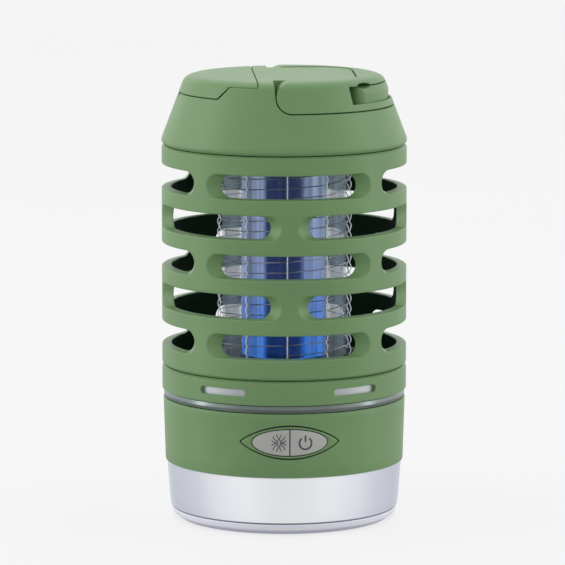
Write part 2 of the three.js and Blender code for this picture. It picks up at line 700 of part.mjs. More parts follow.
function baseAssembly() {
  const group = new THREE.Group();
  const cell = new THREE.CylinderGeometry(CELL_RADIUS, CELL_RADIUS, CELL_LENGTH, 20);
  const capacitor = new THREE.CylinderGeometry(3.6, 3.6, 12, 16).rotateZ(Math.PI / 2);
  const ventLinerTop = COLLAR_TOP - DECK_THICKNESS - GAP;
  group.add(
    footPlate(),
    part('lamp_diffuser', revolve([
      [38.8, FOOT_HEIGHT + GAP],
      [41, FOOT_HEIGHT + GAP],
      [42.3, LAMP_TOP - GAP],
      [40.1, LAMP_TOP - GAP],
    ]), 'diffuser'),
    reflector(),
    part('lamp_board', ring(6, 38.5, LAMP_TOP - 1.4, LAMP_TOP + 0.2), 'white'),
    baseShell(),
    buttonBezel(),
    button('button_mode', -1),
    button('button_power', 1),
    part('switch_board', box([-15, -34, BUTTON_Z - 6.5], [15, -32.5, BUTTON_Z + 6.5]), 'board'),
    tactSwitch('tact_switch_mode', -6),
    tactSwitch('tact_switch_power', 6),
    batteryHolder(),
    at(part('battery_cell', cell.rotateZ(Math.PI / 2), 'cell'), 0, 13, CELL_TRAY_Z + 1.8 + CELL_RADIUS),
    part('main_board', ring(6, 37, MAIN_BOARD_Z - 1.5, MAIN_BOARD_Z), 'board'),
    part('hv_transformer', box([-22, -14, MAIN_BOARD_Z + GAP], [-8, 2, MAIN_BOARD_Z + 7.5]), 'darkGrey'),
    at(part('hv_capacitor', capacitor, 'brass'), 16, -10, MAIN_BOARD_Z + 4),
    part('trim_ring', ring(40.6, 43.4, SHELL_TOP + GAP, TRIM_TOP, OUTER_SEGMENTS), 'silver'),
    baseCollar(),
    part('vent_liner', ring(39.6, 40.7, TRIM_TOP + 1, ventLinerTop, OUTER_SEGMENTS), 'silver'),
  );
  for (let i = 0; i < LAMP_LEDS; i += 1) {
    const spot = around(28, (360 * i) / LAMP_LEDS + 30);
    const led = part(`lamp_led_${i + 1}`, new THREE.BoxGeometry(3.5, 3.5, 1.2), 'led');
    group.add(at(led, spot.x, spot.y, LAMP_TOP - 2.3));
  }
  for (let i = 0; i < SCREWS; i += 1) {
    const spot = around(FOOT_SCREW_CIRCLE, (360 * i) / SCREWS);
    group.add(at(screw(`foot_screw_${i + 1}`, 6.2), spot.x, spot.y, 2.7));
  }
  return group;
}

// ---------------------------------------------------------------- whole

const zapper = new THREE.Group();
zapper.add(baseAssembly(), guardAssembly(), capAssembly());

export default zapper;
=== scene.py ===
"""Looks of the camping bug zapper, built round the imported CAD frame. Lengths are in millimetres
until a mesh is written, when MM turns them into metres. Azimuths are degrees round from the
front (-Y) towards the right (+X)."""

import json
import math

import bmesh
import bpy
from mathutils import Matrix, Vector


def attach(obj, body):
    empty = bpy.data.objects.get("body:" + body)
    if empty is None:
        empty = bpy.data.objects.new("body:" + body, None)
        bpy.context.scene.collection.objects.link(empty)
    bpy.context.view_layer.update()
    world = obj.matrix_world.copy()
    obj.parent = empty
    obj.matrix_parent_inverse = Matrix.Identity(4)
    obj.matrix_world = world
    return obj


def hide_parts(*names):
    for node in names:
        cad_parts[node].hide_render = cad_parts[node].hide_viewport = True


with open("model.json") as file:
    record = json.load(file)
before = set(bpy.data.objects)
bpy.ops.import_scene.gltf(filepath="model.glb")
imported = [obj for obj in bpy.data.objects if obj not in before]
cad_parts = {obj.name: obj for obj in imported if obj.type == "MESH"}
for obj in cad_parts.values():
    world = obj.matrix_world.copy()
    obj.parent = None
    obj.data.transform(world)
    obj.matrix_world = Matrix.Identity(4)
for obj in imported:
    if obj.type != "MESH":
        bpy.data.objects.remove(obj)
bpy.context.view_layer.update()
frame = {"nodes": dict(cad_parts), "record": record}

MM = 0.001
TURN = 2 * math.pi

# ---------------- dimensions, as in the CAD model

BODY_RADIUS = 44.0
FOOT_TOP = 3.9
LAMP_TOP = 21.1
SHELL_TOP = 44.1
TRIM_TOP = 46.8
COLLAR_TOP = 55.7
GUARD_TOP = 135.2
CAP_TOP = 160.4
HANDLE_TOP = 160.7
GAP = 0.3

GUARD_WALL = 3.5
DRUM_INNER_RADIUS = 41.0
SLOT_ROWS = 5
TOP_ROW_Z = 124.2
ROW_PITCH = 14.15
SLOT_HALF_HEIGHT = 4.35
SLOT_END = 4.4
SLOT_HALF_ANGLE_OUTER = 41.2
SLOT_HALF_ANGLE_INNER = 35.4
GROOVE_DEPTH = 0.8

CAP_RIM_RADIUS = 44.1
CAP_RIM_Z = 137.3
CAP_SLOPE = 0.375
SHOULDER_DROP = 2.7
SHOULDER_REACH = 4.9
CAP_WALL = 2.3
COVER_SEAM_X = -10.9
COVER_SKIRT_Z = 154.3
COVER_THICKNESS = 1.8
PORT_BAY_X = -8.8
PORT_BAY_TOP = 156.5
CAVITY_TOP = 147.2
HINGE_X = 1.0
HINGE_Z = 155.3
EAR_RADIUS = 5.4
PLATEAU_HALF_WIDTH = 24.2
PLATEAU_END_X = 24.9
PLATEAU_CORNER = 12.2
LOOP_GAP = 0.5
BLOCK_RADIUS = 37.3
BLOCK_HALF_ANGLE = 47.0
BLOCK_TOP = 158.0
WINDOW_HALF_ANGLE = 53.5
WINDOW_BOTTOM = 152.2
STRIP_INNER_RADIUS = 37.7

FORMER_RADIUS = 22.3
RIB_COUNT = 10
RIB_PEAK = 24.9
RIB_NOTCH = 23.45
WIRE_HELIX_RADIUS = 24.05
WIRE_RADIUS = 0.18
WIRE_PITCH = 7.5
WIRE_TURNS = 9
FORMER_BOTTOM = 59.3
FORMER_TOP = 131.9
COLUMN_RADIUS = 7.6
SLEEVE_RADIUS = 15.3
SLEEVE_SIDES = 96
SLEEVE_FLUTES = 24

BUTTON_Z = 33.9
BUTTON_MIDDLE = 5.6
BUTTON_CROWN = 0.17
BEZEL_POINTEDNESS = 0.75
BEZEL_HALF_LENGTH = 18.1
BEZEL_HALF_HEIGHT = 5.8
BUTTON_HALF_LENGTH = 13.7
BUTTON_HALF_HEIGHT = 4.7
VENT_AZIMUTHS = (-33, 33, 147, 213)
VENT_Z = 51.3
VENT_HALF_LENGTH = 9.2
VENT_HALF_HEIGHT = 1.35
COLLAR_COLUMNS = 240
DECK_THICKNESS = 2.2
LAMP_LEDS = 6
FOOT_SCREW_CIRCLE = 24.0
FOOT_SCREWS = 3

# ---------------- studio light

BACKDROP = 0.92  # what the camera sees behind the object
FRONT_LIGHT = 0.65  # the room in front of the object is dimmer
SIDE_LIGHT = 1.05
LOW_LIGHT = 0.5  # share of it that comes from below
HIGH_LIGHT = 0.74  # and from above
FLOOR_GLOW = 0.69

# ---------------- camera, in metres

CAMERA_LENS = 285.77
CAMERA_AZIMUTH = -2.7
CAMERA_DISTANCE = 1.6
CAMERA_HEIGHT = 0.31684
CAMERA_AIM = (-0.0006, 0.0, 0.08484)


# ---------------- shader helpers

def new_material(name):
    material = bpy.data.materials.new(name)
    material.use_nodes = True
    material.node_tree.nodes.clear()
    output = add_node(material, "ShaderNodeOutputMaterial")
    shader = add_node(material, "ShaderNodeBsdfPrincipled")
    link(material, shader.outputs["BSDF"], output.inputs["Surface"])
    return material, shader


def link(owner, source, target):
    owner.node_tree.links.new(source, target)


def add_node(owner, kind, **values):
    node = owner.node_tree.nodes.new(kind)
    for key, value in values.items():
        if key in node.inputs:
            node.inputs[key].default_value = value
        else:
            setattr(node, key, value)
    return node


def set_inputs(node, values):
    for key, value in values.items():
        node.inputs[key].default_value = value


def axes_of(owner, space="Object"):
    """The X, Y and Z outputs of a point in its object's space, or of a direction in the world."""
    point = add_node(owner, "ShaderNodeTexCoord")
    axes = add_node(owner, "ShaderNodeSeparateXYZ")
    link(owner, point.outputs[space], axes.inputs["Vector"])
    return axes.outputs


def rescale(owner, source, old, new=(0.0, 1.0), kind="LINEAR"):
    """Maps a value from the old range to the new one, and holds it there."""
    node = add_node(owner, "ShaderNodeMapRange", interpolation_type=kind)
    set_inputs(node, dict(zip(("From Min", "From Max", "To Min", "To Max"), (*old, *new))))
    link(owner, source, node.inputs["Value"])
    return node.outputs["Result"]


def arithmetic(owner, operation, *terms):
    """A sum worked out by a node, from outputs or plain numbers."""
    node = add_node(owner, "ShaderNodeMath", operation=operation)
    for socket, term in zip(node.inputs, terms):
        if isinstance(term, (int, float)):
            socket.default_value = term
        else:
            link(owner, term, socket)
    return node.outputs["Value"]


def multiply_colours(material, first, second):
    node = add_node(material, "ShaderNodeMix", data_type="RGBA", blend_type="MULTIPLY")
    node.inputs["Factor"].default_value = 1.0
    link(material, first, node.inputs["A"])
    link(material, second, node.inputs["B"])
    return node.outputs["Result"]


def object_noise(material, scale, detail=3.0):
    """Noise in the object's own space, stretched where the scale is three numbers."""
    source = add_node(material, "ShaderNodeTexCoord").outputs["Object"]
    if isinstance(scale, tuple):
        stretch = add_node(material, "ShaderNodeMapping", Scale=scale)
        link(material, source, stretch.inputs["Vector"])
        source = stretch.outputs["Vector"]
        scale = 1.0
    noise = add_node(material, "ShaderNodeTexNoise", Scale=scale, Detail=detail)
    link(material, source, noise.inputs["Vector"])
    return noise.outputs["Fac"]


def colour_ramp(material, source, stops, *targets):
    """Colours for a value, fed to each target socket."""
    ramp = add_node(material, "ShaderNodeValToRGB")
    elements = ramp.color_ramp.elements
    while len(elements) < len(stops):
        elements.new(0.5)
    for element, (position, colour) in zip(elements, stops):
        element.position = position
        element.color = (*colour, 1.0)
    link(material, source, ramp.inputs["Fac"])
    for target in targets:
        link(material, ramp.outputs["Color"], target)
    return ramp.outputs["Color"]


def add_bump(material, shader, height, strength, distance):
    bump = add_node(material, "ShaderNodeBump", Strength=strength, Distance=distance)
    link(material, height, bump.inputs["Height"])
    link(material, bump.outputs["Normal"], shader.inputs["Normal"])


def vary_roughness(material, shader, noise, low, high):
    link(material, rescale(material, noise, (0.0, 1.0), (low, high)), shader.inputs["Roughness"])


def height_share(material, low, high):
    """0 at the low height to 1 at the high one, both in millimetres."""
    return rescale(material, axes_of(material)["Z"], (low * MM, high * MM))


def shaded(colour, factor):
    return tuple(channel * factor for channel in colour)


def grey(value):
    return (value, value, value)


# ---------------- materials

def moulded_plastic(name, colour, rough=0.45, mottle=0.05, **inputs):
    """Satin injection-moulded plastic: slow tone drift, fine spark-eroded grain."""
    material, shader = new_material(name)
    colour_ramp(material, object_noise(material, 28.0, 2.0), [
        (0.3, shaded(colour, 1 - mottle)),
        (0.7, shaded(colour, 1 + mottle)),
    ], shader.inputs["Base Color"])
    vary_roughness(material, shader, object_noise(material, 160.0), rough - 0.05, rough + 0.06)
    add_bump(material, shader, object_noise(material, 3800.0, 2.0), 0.25, 0.00003)
    set_inputs(shader, {key.replace("_", " "): value for key, value in inputs.items()})
    return material


def drawn_metal(name, colour, rough):
    """Metal with fine drawing marks in its gloss."""
    material, shader = new_material(name)
    shader.inputs["Metallic"].default_value = 1.0
    colour_ramp(material, object_noise(material, 60.0), [
        (0.3, shaded(colour, 0.92)),
        (0.7, colour),
    ], shader.inputs["Base Color"])
    marks = object_noise(material, (40.0, 40.0, 2600.0), 4.0)
    vary_roughness(material, shader, marks, rough - 0.08, rough + 0.12)
    add_bump(material, shader, marks, 0.15, 0.00002)
    return material


def circuit_board():
    """Green solder mask over a faint pattern of copper tracks."""
    material, shader = new_material("solder_mask")
    tracks = add_node(material, "ShaderNodeTexBrick", Scale=260.0)
    set_inputs(tracks, {
        "Color1": (0.01, 0.12, 0.05, 1),
        "Color2": (0.012, 0.15, 0.06, 1),
        "Mortar": (0.02, 0.22, 0.09, 1),
        "Mortar Size": 0.03,
    })
    link(material, add_node(material, "ShaderNodeTexCoord").outputs["Object"], tracks.inputs["Vector"])
    link(material, tracks.outputs["Color"], shader.inputs["Base Color"])
    vary_roughness(material, shader, object_noise(material, 300.0), 0.3, 0.45)
    add_bump(material, shader, tracks.outputs["Fac"], 0.3, 0.00005)
    return material


def frosted_plastic():
    """Milky diffuser, lit from inside: brighter before each LED. Layer Weight dims the glow where
    the wall is seen at a slant, so that part of its shading follows the view."""
    material, shader = new_material("frosted_diffuser")
    colour_ramp(material, object_noise(material, 40.0, 2.0), [
        (0.3, (0.25, 0.26, 0.30)),
        (0.7, (0.28, 0.29, 0.33)),
    ], shader.inputs["Base Color"])
    set_inputs(shader, {
        "Subsurface Weight": 0.3,
        "Subsurface Radius": (0.004, 0.004, 0.0045),
        "Coat Weight": 0.1,
        "Coat Roughness": 0.2,
    })
    axes = axes_of(material)
    turn = arithmetic(material, "ARCTAN2", axes["X"], axes["Y"])
    wave = arithmetic(material, "COSINE", arithmetic(material, "MULTIPLY", turn, LAMP_LEDS))
    glow = rescale(material, wave, (1.0, -1.0), (0.60, 0.67), "SMOOTHSTEP")
    link(material, glow, shader.inputs["Emission Strength"])
    facing = add_node(material, "ShaderNodeLayerWeight").outputs["Facing"]
    colour_ramp(material, facing, [
        (0.08, (0.98, 0.985, 1.0)),
        (0.35, (0.65, 0.67, 0.74)),
        (0.70, (0.43, 0.46, 0.53)),
    ], shader.inputs["Emission Color"])
    vary_roughness(material, shader, object_noise(material, 220.0), 0.3, 0.42)
    add_bump(material, shader, object_noise(material, 2400.0, 2.0), 0.15, 0.00002)
    return material


def foot_plastic():
    """Milky foot plastic with a faint painted glow all over, and painted shade darkening its rim where it
    meets the table.
    """
    # Painted glow: a faint bluish emission lightens the whole foot, which is no lamp.
    material = moulded_plastic("milky_foot_plastic", grey(1.0), 0.3, 0.02,
                               Emission_Color=(0.85, 0.86, 1.0, 1.0), Emission_Strength=0.09)
    colour = material.node_tree.nodes["Principled BSDF"].inputs["Base Color"]
    mottle = colour.links[0].from_socket
    # Painted shade: the foot darkens towards its bottom edge, by height.
    rim = colour_ramp(material, height_share(material, 0.0, FOOT_TOP), [
        (0.30, (0.40, 0.40, 0.54)),
        (0.55, (0.90, 0.91, 0.99)),
    ])
    link(material, multiply_colours(material, mottle, rim), colour)
    return material


def clear_plastic(name, colour, rim, veil, glow):
    """Thin clear moulding, see-through face on and veiled by its sides beyond the rim. A painted glow
    rises with the share of the grid's height: painted light standing in for lamp light caught in its wall,
    in fine upright streaks that also lighten and darken its colour."""
    material, shader = new_material(name)
    # Painted light: upright streaks that brighten and darken both the colour and the glow.
    painted_light_streaks = object_noise(material, (420.0, 420.0, 6.0))
    colour_ramp(material, painted_light_streaks, [
        (0.36, shaded(colour, 0.7)),
        (0.64, shaded(colour, 1.35)),
    ], shader.inputs["Base Color"])
    # Painted glow by height, in place of lamp light and reflections in the clear wall.
    painted_glow = colour_ramp(material, height_share(material, FORMER_BOTTOM, FORMER_TOP), glow)
    painted_streak_brightness = colour_ramp(material, painted_light_streaks, [(0.36, grey(0.5)), (0.64, grey(1.8))])
    link(material, multiply_colours(material, painted_glow, painted_streak_brightness), shader.inputs["Emission Color"])
    set_inputs(shader, {"Emission Strength": 1.0, "Specular IOR Level": 0.2})
    facing = add_node(material, "ShaderNodeLayerWeight", Blend=0.5).outputs["Facing"]
    colour_ramp(material, facing, [(rim - 0.04, grey(0.03)), (rim + 0.04, grey(veil))],
                shader.inputs["Alpha"])
    vary_roughness(material, shader, object_noise(material, 90.0), 0.06, 0.14)
    return material


def uv_lens():
    """Deep navy lamp tube, glowing a little brighter low down."""
    material, shader = new_material("blue_lamp_tube")
    set_inputs(shader, {"Roughness": 0.18, "Specular IOR Level": 0.2, "Emission Strength": 0.8})
    colour_ramp(material, height_share(material, FORMER_BOTTOM, FORMER_TOP), [
        (0.0, (0.003, 0.016, 0.085)),
        (0.4, (0.003, 0.011, 0.065)),
        (1.0, (0.003, 0.010, 0.05)),
    ], shader.inputs["Base Color"], shader.inputs["Emission Color"])
    return material


def glowing_led():
    material, shader = new_material("lit_uv_led")
    colour_ramp(material, object_noise(material, 500.0), [
        (0.3, (0.1, 0.2, 1.0)),
        (0.7, (0.3, 0.4, 1.0)),
    ], shader.inputs["Base Color"], shader.inputs["Emission Color"])
    shader.inputs["Emission Strength"].default_value = 4.0
    return material


def make_materials():
    """Every material, under its slot's name or that of the pieces that have their own."""
    return {
        "green_plastic": moulded_plastic("sage_green_plastic", (0.195, 0.355, 0.148), 0.40),
        "button_plastic": moulded_plastic("warm_grey_plastic", (0.54, 0.55, 0.53), 0.42),
        "dark_plastic": moulded_plastic("charcoal_plastic", (0.02, 0.022, 0.022), 0.55),
        "white_plastic": moulded_plastic("white_plastic", (0.8, 0.8, 0.82), 0.4, 0.02),
        # Painted shade: a near-black green for the cage's inner faces, standing in for the shade inside
        # the cage.
        "painted_shade_guard_inside": moulded_plastic("painted_shade_guard_inside_green", (0.010, 0.026, 0.009), 0.8,
                                        Specular_IOR_Level=0.1),
        "steel": drawn_metal("drawn_steel", (0.62, 0.63, 0.65), 0.25),
        "brass": drawn_metal("plain_brass", (0.62, 0.42, 0.17), 0.3),
        "trim_silver": drawn_metal("satin_silver", (0.23, 0.27, 0.265), 0.22),
        "vent_silver": drawn_metal("vent_silver", (0.66, 0.68, 0.71), 0.5),
        "circuit_board": circuit_board(),
        "cell_wrap": moulded_plastic("cell_sleeve", (0.03, 0.12, 0.42), 0.25),
        "diffuser_plastic": frosted_plastic(),
        "foot_plastic": foot_plastic(),
        # Painted shade: the grey of the ring that darkens the gap over the foot.
        "painted_shade_foot_gap": moulded_plastic("grey_painted_shade_foot_gap", (0.24, 0.25, 0.29), 0.6),
        # Each clear moulding's last list is its painted glow by height: light painted on the wall, bluest
        # low in the sleeve.
        "clear_plastic": clear_plastic("clear_moulding", (0.36, 0.44, 0.48), 0.32, 0.34, [
            (0.0, (0.03, 0.035, 0.035)),
            (1.0, (0.05, 0.065, 0.075)),
        ]),
        "fluted_sleeve": clear_plastic("fluted_clear_sleeve", (0.33, 0.37, 0.45), 0.14, 0.82, [
            (0.02, (0.0, 0.09, 0.38)),
            (0.20, (0.005, 0.08, 0.33)),
            (0.42, (0.09, 0.13, 0.26)),
            (1.0, (0.11, 0.145, 0.20)),
        ]),
        "uv_lens": uv_lens(),
        "lamp_led": moulded_plastic("phosphor_led", (0.85, 0.7, 0.25), 0.3),
        "uv_led": glowing_led(),
        "icon_ink": moulded_plastic("grey_icon_ink", (0.10, 0.10, 0.098), 0.5),
        # Painted highlight: pale glowing beads along the rib edges.
        "painted_highlight_rib_beads": moulded_plastic("pale_painted_highlight_on_ribs", (0.90, 0.92, 0.97), 0.25, 0.03,
                                    Emission_Color=(0.8, 0.86, 0.95, 1.0), Emission_Strength=0.22),
    }


materials = make_materials()


# ---------------- mesh helpers

def place(radius, angle, z):
    """A point in millimetres from a radius, an azimuth in radians and a height."""
    return (radius * math.sin(angle), -radius * math.cos(angle), z)


def piece(name, points, faces, slot, body, nodes=(), material=None, sharp=35.0):
    """Writes a mesh in metres, smooth-shaded below the sharp angle, and gives it to a body."""
    obj = mesh_object(name, [Vector(point) * MM for point in points], faces, 0.002 * MM)
    return dress(obj, slot, body, nodes, material, sharp)


def scene_object(name, data):
    obj = bpy.data.objects.new(name, data)
    bpy.context.scene.collection.objects.link(obj)
    return obj


def mesh_object(name, points, faces, merge):
    """A mesh with doubled points merged and every face turned outwards."""
    mesh = bpy.data.meshes.new(name)
    mesh.from_pydata(points, [], faces)
    work = bmesh.new()
    work.from_mesh(mesh)
    bmesh.ops.remove_doubles(work, verts=work.verts, dist=merge)
    bmesh.ops.recalc_face_normals(work, faces=work.faces)
    work.to_mesh(mesh)
    work.free()
    return scene_object(name, mesh)


def dress(obj, slot, body, nodes=(), material=None, sharp=35.0):
    obj.data.materials.clear()
    obj.data.materials.append(materials[material or slot])
    obj.data.shade_smooth()
    obj.data.set_sharp_from_angle(angle=math.radians(sharp))
    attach(obj, body)
    if nodes:
        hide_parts(*nodes)
    return obj


def bezier(start, corner, end, steps=4):
    """Points between start and end on a curve that rounds the corner off."""
    found = []
    for k in range(1, steps):
        t = k / steps
        found.append(start * (1 - t) ** 2 + corner * 2 * t * (1 - t) + end * t * t)
    return found


def rounded(profile, steps=5):
    """A closed outline of (r, z, fillet) corners as points, each corner turned into an arc."""
    points = []
    count = len(profile)
    for i, (r, z, fillet) in enumerate(profile):
        here = Vector((r, z))
        if not fillet:
            points.append(here)
            continue
        before = Vector(profile[i - 1][:2]) - here
        after = Vector(profile[(i + 1) % count][:2]) - here
        reach = fillet / math.tan(before.angle(after) / 2)
        reach = min(reach, 0.49 * before.length, 0.49 * after.length)
        start = here + before.normalized() * reach
        end = here + after.normalized() * reach
        points += [start] + bezier(start, here, end, steps) + [end]
    return points


def lathe(profile, segments=160):
    """Turns an outline round the Z axis; points on the axis close it."""
    closed = profile[0].x > 1e-6
    points = []
    for k in range(segments):
        angle = TURN * k / segments
        points += [place(max(p.x, 0.0), angle, p.y) for p in profile]
    count = len(profile)
    faces = []
    for k in range(segments):
        a, b = k * count, (k + 1) % segments * count
        for i in range(count if closed else count - 1):
            j = (i + 1) % count
            faces.append([a + i, b + i, b + j, a + j])
    return points, faces


def turned(name, profile, slot, body, nodes=(), segments=160, **options):
    points, faces = lathe(rounded(profile), segments)
    piece(name, points, faces, slot, body, nodes, **options)


def strip(outlines, closed=False):
    """Quads between neighbouring outlines, each a ring of the same number of points."""
    points = [tuple(p) for outline in outlines for p in outline]
    count = len(outlines[0])
    faces = []
    pairs = range(len(outlines) if closed else len(outlines) - 1)
    for i in pairs:
        a, b = i * count, (i + 1) % len(outlines) * count
        for k in range(count):
            n = (k + 1) % count
            faces.append([a + k, a + n, b + n, b + k])
    return points, faces


def capped_strip(outlines):
    """A strip with its first and last outline closed."""
    points, faces = strip(outlines)
    count = len(outlines[0])
    return points, faces + [list(range(count)), list(range(len(points) - count, len(points)))]


def circle(count):
    """The cosine and sine of evenly spaced turns."""
    turns = (TURN * k / count for k in range(count))
    return [(math.cos(turn), math.sin(turn)) for turn in turns]


def hollow(inner, outer, low, high, fillets):
    """A ring's section, its four corners from inner low anticlockwise."""
    corners = ((inner, low), (outer, low), (outer, high), (inner, high))
    return [(r, z, fillet) for (r, z), fillet in zip(corners, fillets)]


# ---------------- perforated walls

def cell_edge(half_width, half_height, columns, rows):
    """One quarter of a cell's edge, from the right side's middle to the top's middle."""
    side = [(half_width, half_height * 2 * i / rows) for i in range(rows // 2)]
    top = [(half_width - 2 * half_width * i / columns, half_height) for i in range(columns // 2 + 1)]
    return side + top


def full_ring(quarter):
    """Mirrors a quarter outline, right middle to top middle, into a whole ring."""
    top = quarter + [(-u, v) for u, v in reversed(quarter[:-1])]
    return top[:-1] + [(-u, -v) for u, v in top[:-1]]


class Wall:
    """A curved wall between two radii, made of cells that each may hold a hole."""

    def __init__(self, outer, inner, fillet):
        self.outer = outer
        self.inner = inner
        self.fillet = fillet
        self.points = []
        self.faces = []

    def add(self, points, faces):
        start = len(self.points)
        self.points += points
        self.faces += [[start + i for i in face] for face in faces]

    def on(self, radius, centre, z, ring):
        """Places a ring of (angle, height) pairs on a face of the wall."""
        return [Vector(place(radius(z + v), centre + u, z + v)) for u, v in ring]

    def plain(self, left, right, low, high, columns, rows):
        """A cell without a hole, as a grid on both faces."""
        for radius in (self.outer, self.inner):
            points = []
            for j in range(rows + 1):
                z = low + (high - low) * j / rows
                angles = (left + (right - left) * i / columns for i in range(columns + 1))
                points += [place(radius(z), angle, z) for angle in angles]
            row = columns + 1
            faces = [[j * row + i, j * row + i + 1, (j + 1) * row + i + 1, (j + 1) * row + i]
                     for j in range(rows) for i in range(columns)]
            self.add(points, faces)

    def holed(self, left, right, low, high, columns, rows, hole):
        """A cell with a hole. hole(quarter edge, growth in mm, depth 0..1) gives its quarter ring."""
        centre, z = (left + right) / 2, (low + high) / 2
        edge = cell_edge((right - left) / 2, (high - low) / 2, columns, rows)
        f = self.fillet

        def ring(radius, growth, depth):
            return self.on(radius, centre, z, full_ring(hole(edge, growth, depth)))

        outer_corner = ring(self.outer, 0.0, 0.0)
        inner_corner = ring(self.inner, 0.0, 1.0)
        outer_face = ring(self.outer, f, 0.0)
        inner_face = ring(self.inner, f, 1.0)
        span = [b - a for a, b in zip(outer_corner, inner_corner)]
        outer_wall = [p + s.normalized() * f for p, s in zip(outer_corner, span)]
        inner_wall = [p - s.normalized() * f for p, s in zip(inner_corner, span)]
        rings = [self.on(self.outer, centre, z, full_ring(edge)), ring(self.outer, 2 * f, 0.0), outer_face]
        rings += self.round(outer_face, outer_corner, outer_wall)
        rings += [outer_wall, [(a + b) / 2 for a, b in zip(outer_wall, inner_wall)], inner_wall]
        rings += self.round(inner_wall, inner_corner, inner_face)
        rings += [inner_face, ring(self.inner, 2 * f, 1.0)]
        rings += [self.on(self.inner, centre, z, full_ring(edge))]
        self.add(*strip(rings))

    def round(self, start, corner, end):
        trios = [bezier(a, c, b) for a, c, b in zip(start, corner, end)]
        return [list(ring) for ring in zip(*trios)]

    def band(self, profile, columns):
        """An open profile of (r, z) turned round, joining the outer face to the inner one."""
        rings = [[place(r, TURN * k / columns, z) for k in range(columns)] for r, z in profile]
        self.add(*strip(rings))


def stadium(half_angle, end, half_height):
    """A slot's quarter ring: straight along the top, a half-round nose at its end.
    Each argument is a function of depth 0..1, in radians, radians and millimetres."""

    def quarter(edge, growth, depth):
        straight = half_angle(depth) - end(depth)
        widest = half_angle(0.0) - end(0.0)
        grow = growth / BODY_RADIUS
        nose = max(i for i, (u, _) in enumerate(edge) if u > widest - 1e-6)
        ring = []
        for i, (u, _) in enumerate(edge):
            if i <= nose:
                turn = math.pi / 2 * i / nose
                ring.append((straight + (end(depth) + grow) * math.cos(turn),
                             (half_height(depth) + growth) * math.sin(turn)))
            else:
                ring.append((u * straight / widest, half_height(depth) + growth))
        return ring

    return quarter


def lens(half_length, half_height, pointed):
    """A quarter ring between an ellipse (pointed = 0) and a lens of two arcs (pointed = 1)."""

    def quarter(edge, growth, depth):
        ring = []
        for i in range(len(edge)):
            turn = math.pi / 2 * i / (len(edge) - 1)
            u = math.cos(turn)
            round_v = math.sin(turn)
            arc_v = 1 - u * u
            v = round_v * (1 - pointed) + arc_v * pointed
            ring.append(((half_length + growth) * u / BODY_RADIUS, (half_height + growth) * v))
        return ring

    return quarter


def mix(start, end):
    return lambda t: start + (end - start) * t


def make_guard():
    """The slotted cage: staggered rows of wide slots with slanted ends and rounded edges."""
    inner = BODY_RADIUS - GUARD_WALL
    wall = Wall(lambda z: BODY_RADIUS, lambda z: inner, 0.45)
    slot = stadium(
        mix(math.radians(SLOT_HALF_ANGLE_OUTER), math.radians(SLOT_HALF_ANGLE_INNER)),
        mix(SLOT_END / BODY_RADIUS, SLOT_END / inner),
        mix(SLOT_HALF_HEIGHT, SLOT_HALF_HEIGHT - 0.35),
    )
    quarter_turn = TURN / 4
    columns = 36
    for row in range(SLOT_ROWS):
        z = TOP_ROW_Z - row * ROW_PITCH
        for k in range(4):
            centre = quarter_turn * (k + (row % 2) / 2)
            wall.holed(centre - quarter_turn / 2, centre + quarter_turn / 2,
                       z - ROW_PITCH / 2, z + ROW_PITCH / 2, columns, 6, slot)
    bottom = COLLAR_TOP + GAP
    low = TOP_ROW_Z - (SLOT_ROWS - 0.5) * ROW_PITCH
    high = TOP_ROW_Z + ROW_PITCH / 2
    wall.band(chamfered_end(BODY_RADIUS, inner, low, bottom), 4 * columns)
    wall.band(chamfered_end(BODY_RADIUS, inner, high, GUARD_TOP), 4 * columns)
    guard = piece("guard_cage_shell", wall.points, wall.faces, "green_plastic", "body", ["guard_cage"])
    # The inner faces take the painted-shade green, for the shade inside the cage.
    guard.data.materials.append(materials["painted_shade_guard_inside"])
    for face in guard.data.polygons:
        if all(math.hypot(*guard.data.vertices[i].co.xy) < (inner + 0.02) * MM for i in face.vertices):
            face.material_index = 1


def chamfered_end(outer, inner, start, end, chamfer=GROOVE_DEPTH):
    """A wall's end from its outer face round a chamfer to its inner face."""
    way = 1 if end > start else -1
    return [
        (outer, start),
        (outer, end - way * (chamfer + 0.5)),
        (outer, end - way * (chamfer + 0.15)),
        (outer - 0.05, end - way * (chamfer - 0.1)),
        (outer - chamfer + 0.08, end - way * 0.15),
        (outer - chamfer - 0.05, end),
        (inner + 0.3, end),
        (inner, end - way * 0.3),
        (inner, start),
    ]


def shell_radius(z):
    return 42.9 + 0.7 * (z - LAMP_TOP) / (SHELL_TOP - LAMP_TOP)


def make_collar():
    """Collar with a deck inside and four vents."""
    wall = Wall(lambda z: BODY_RADIUS, lambda z: DRUM_INNER_RADIUS, 0.25)
    vent = stadium(
        mix(VENT_HALF_LENGTH / BODY_RADIUS, VENT_HALF_LENGTH / BODY_RADIUS),
        mix(VENT_HALF_HEIGHT / BODY_RADIUS, VENT_HALF_HEIGHT / BODY_RADIUS),
        mix(VENT_HALF_HEIGHT, VENT_HALF_HEIGHT),
    )
    low, high = VENT_Z - 2.4, VENT_Z + 2.4
    step = TURN / COLLAR_COLUMNS
    columns = 20
    for azimuth in VENT_AZIMUTHS:
        left = math.radians(azimuth) - columns / 2 * step
        wall.holed(left, left + columns * step, low, high, columns, 6, vent)
    for start, count in ((-18, 24), (48, 56), (162, 24), (228, 56)):
        left = math.radians(start)
        wall.plain(left, left + count * step, low, high, count, 6)
    wall.band(chamfered_end(BODY_RADIUS, DRUM_INNER_RADIUS, low, TRIM_TOP + GAP, 0.25), COLLAR_COLUMNS)
    deck = COLLAR_TOP - DECK_THICKNESS
    top_and_deck = chamfered_end(BODY_RADIUS, 7.5, high, COLLAR_TOP)[:-1] + [
        (7.5, deck),
        (DRUM_INNER_RADIUS, deck),
        (DRUM_INNER_RADIUS, high),
    ]
    wall.band(top_and_deck, COLLAR_COLUMNS)
    piece("base_collar_shell", wall.points, wall.faces, "green_plastic", "body", ["base_collar"])


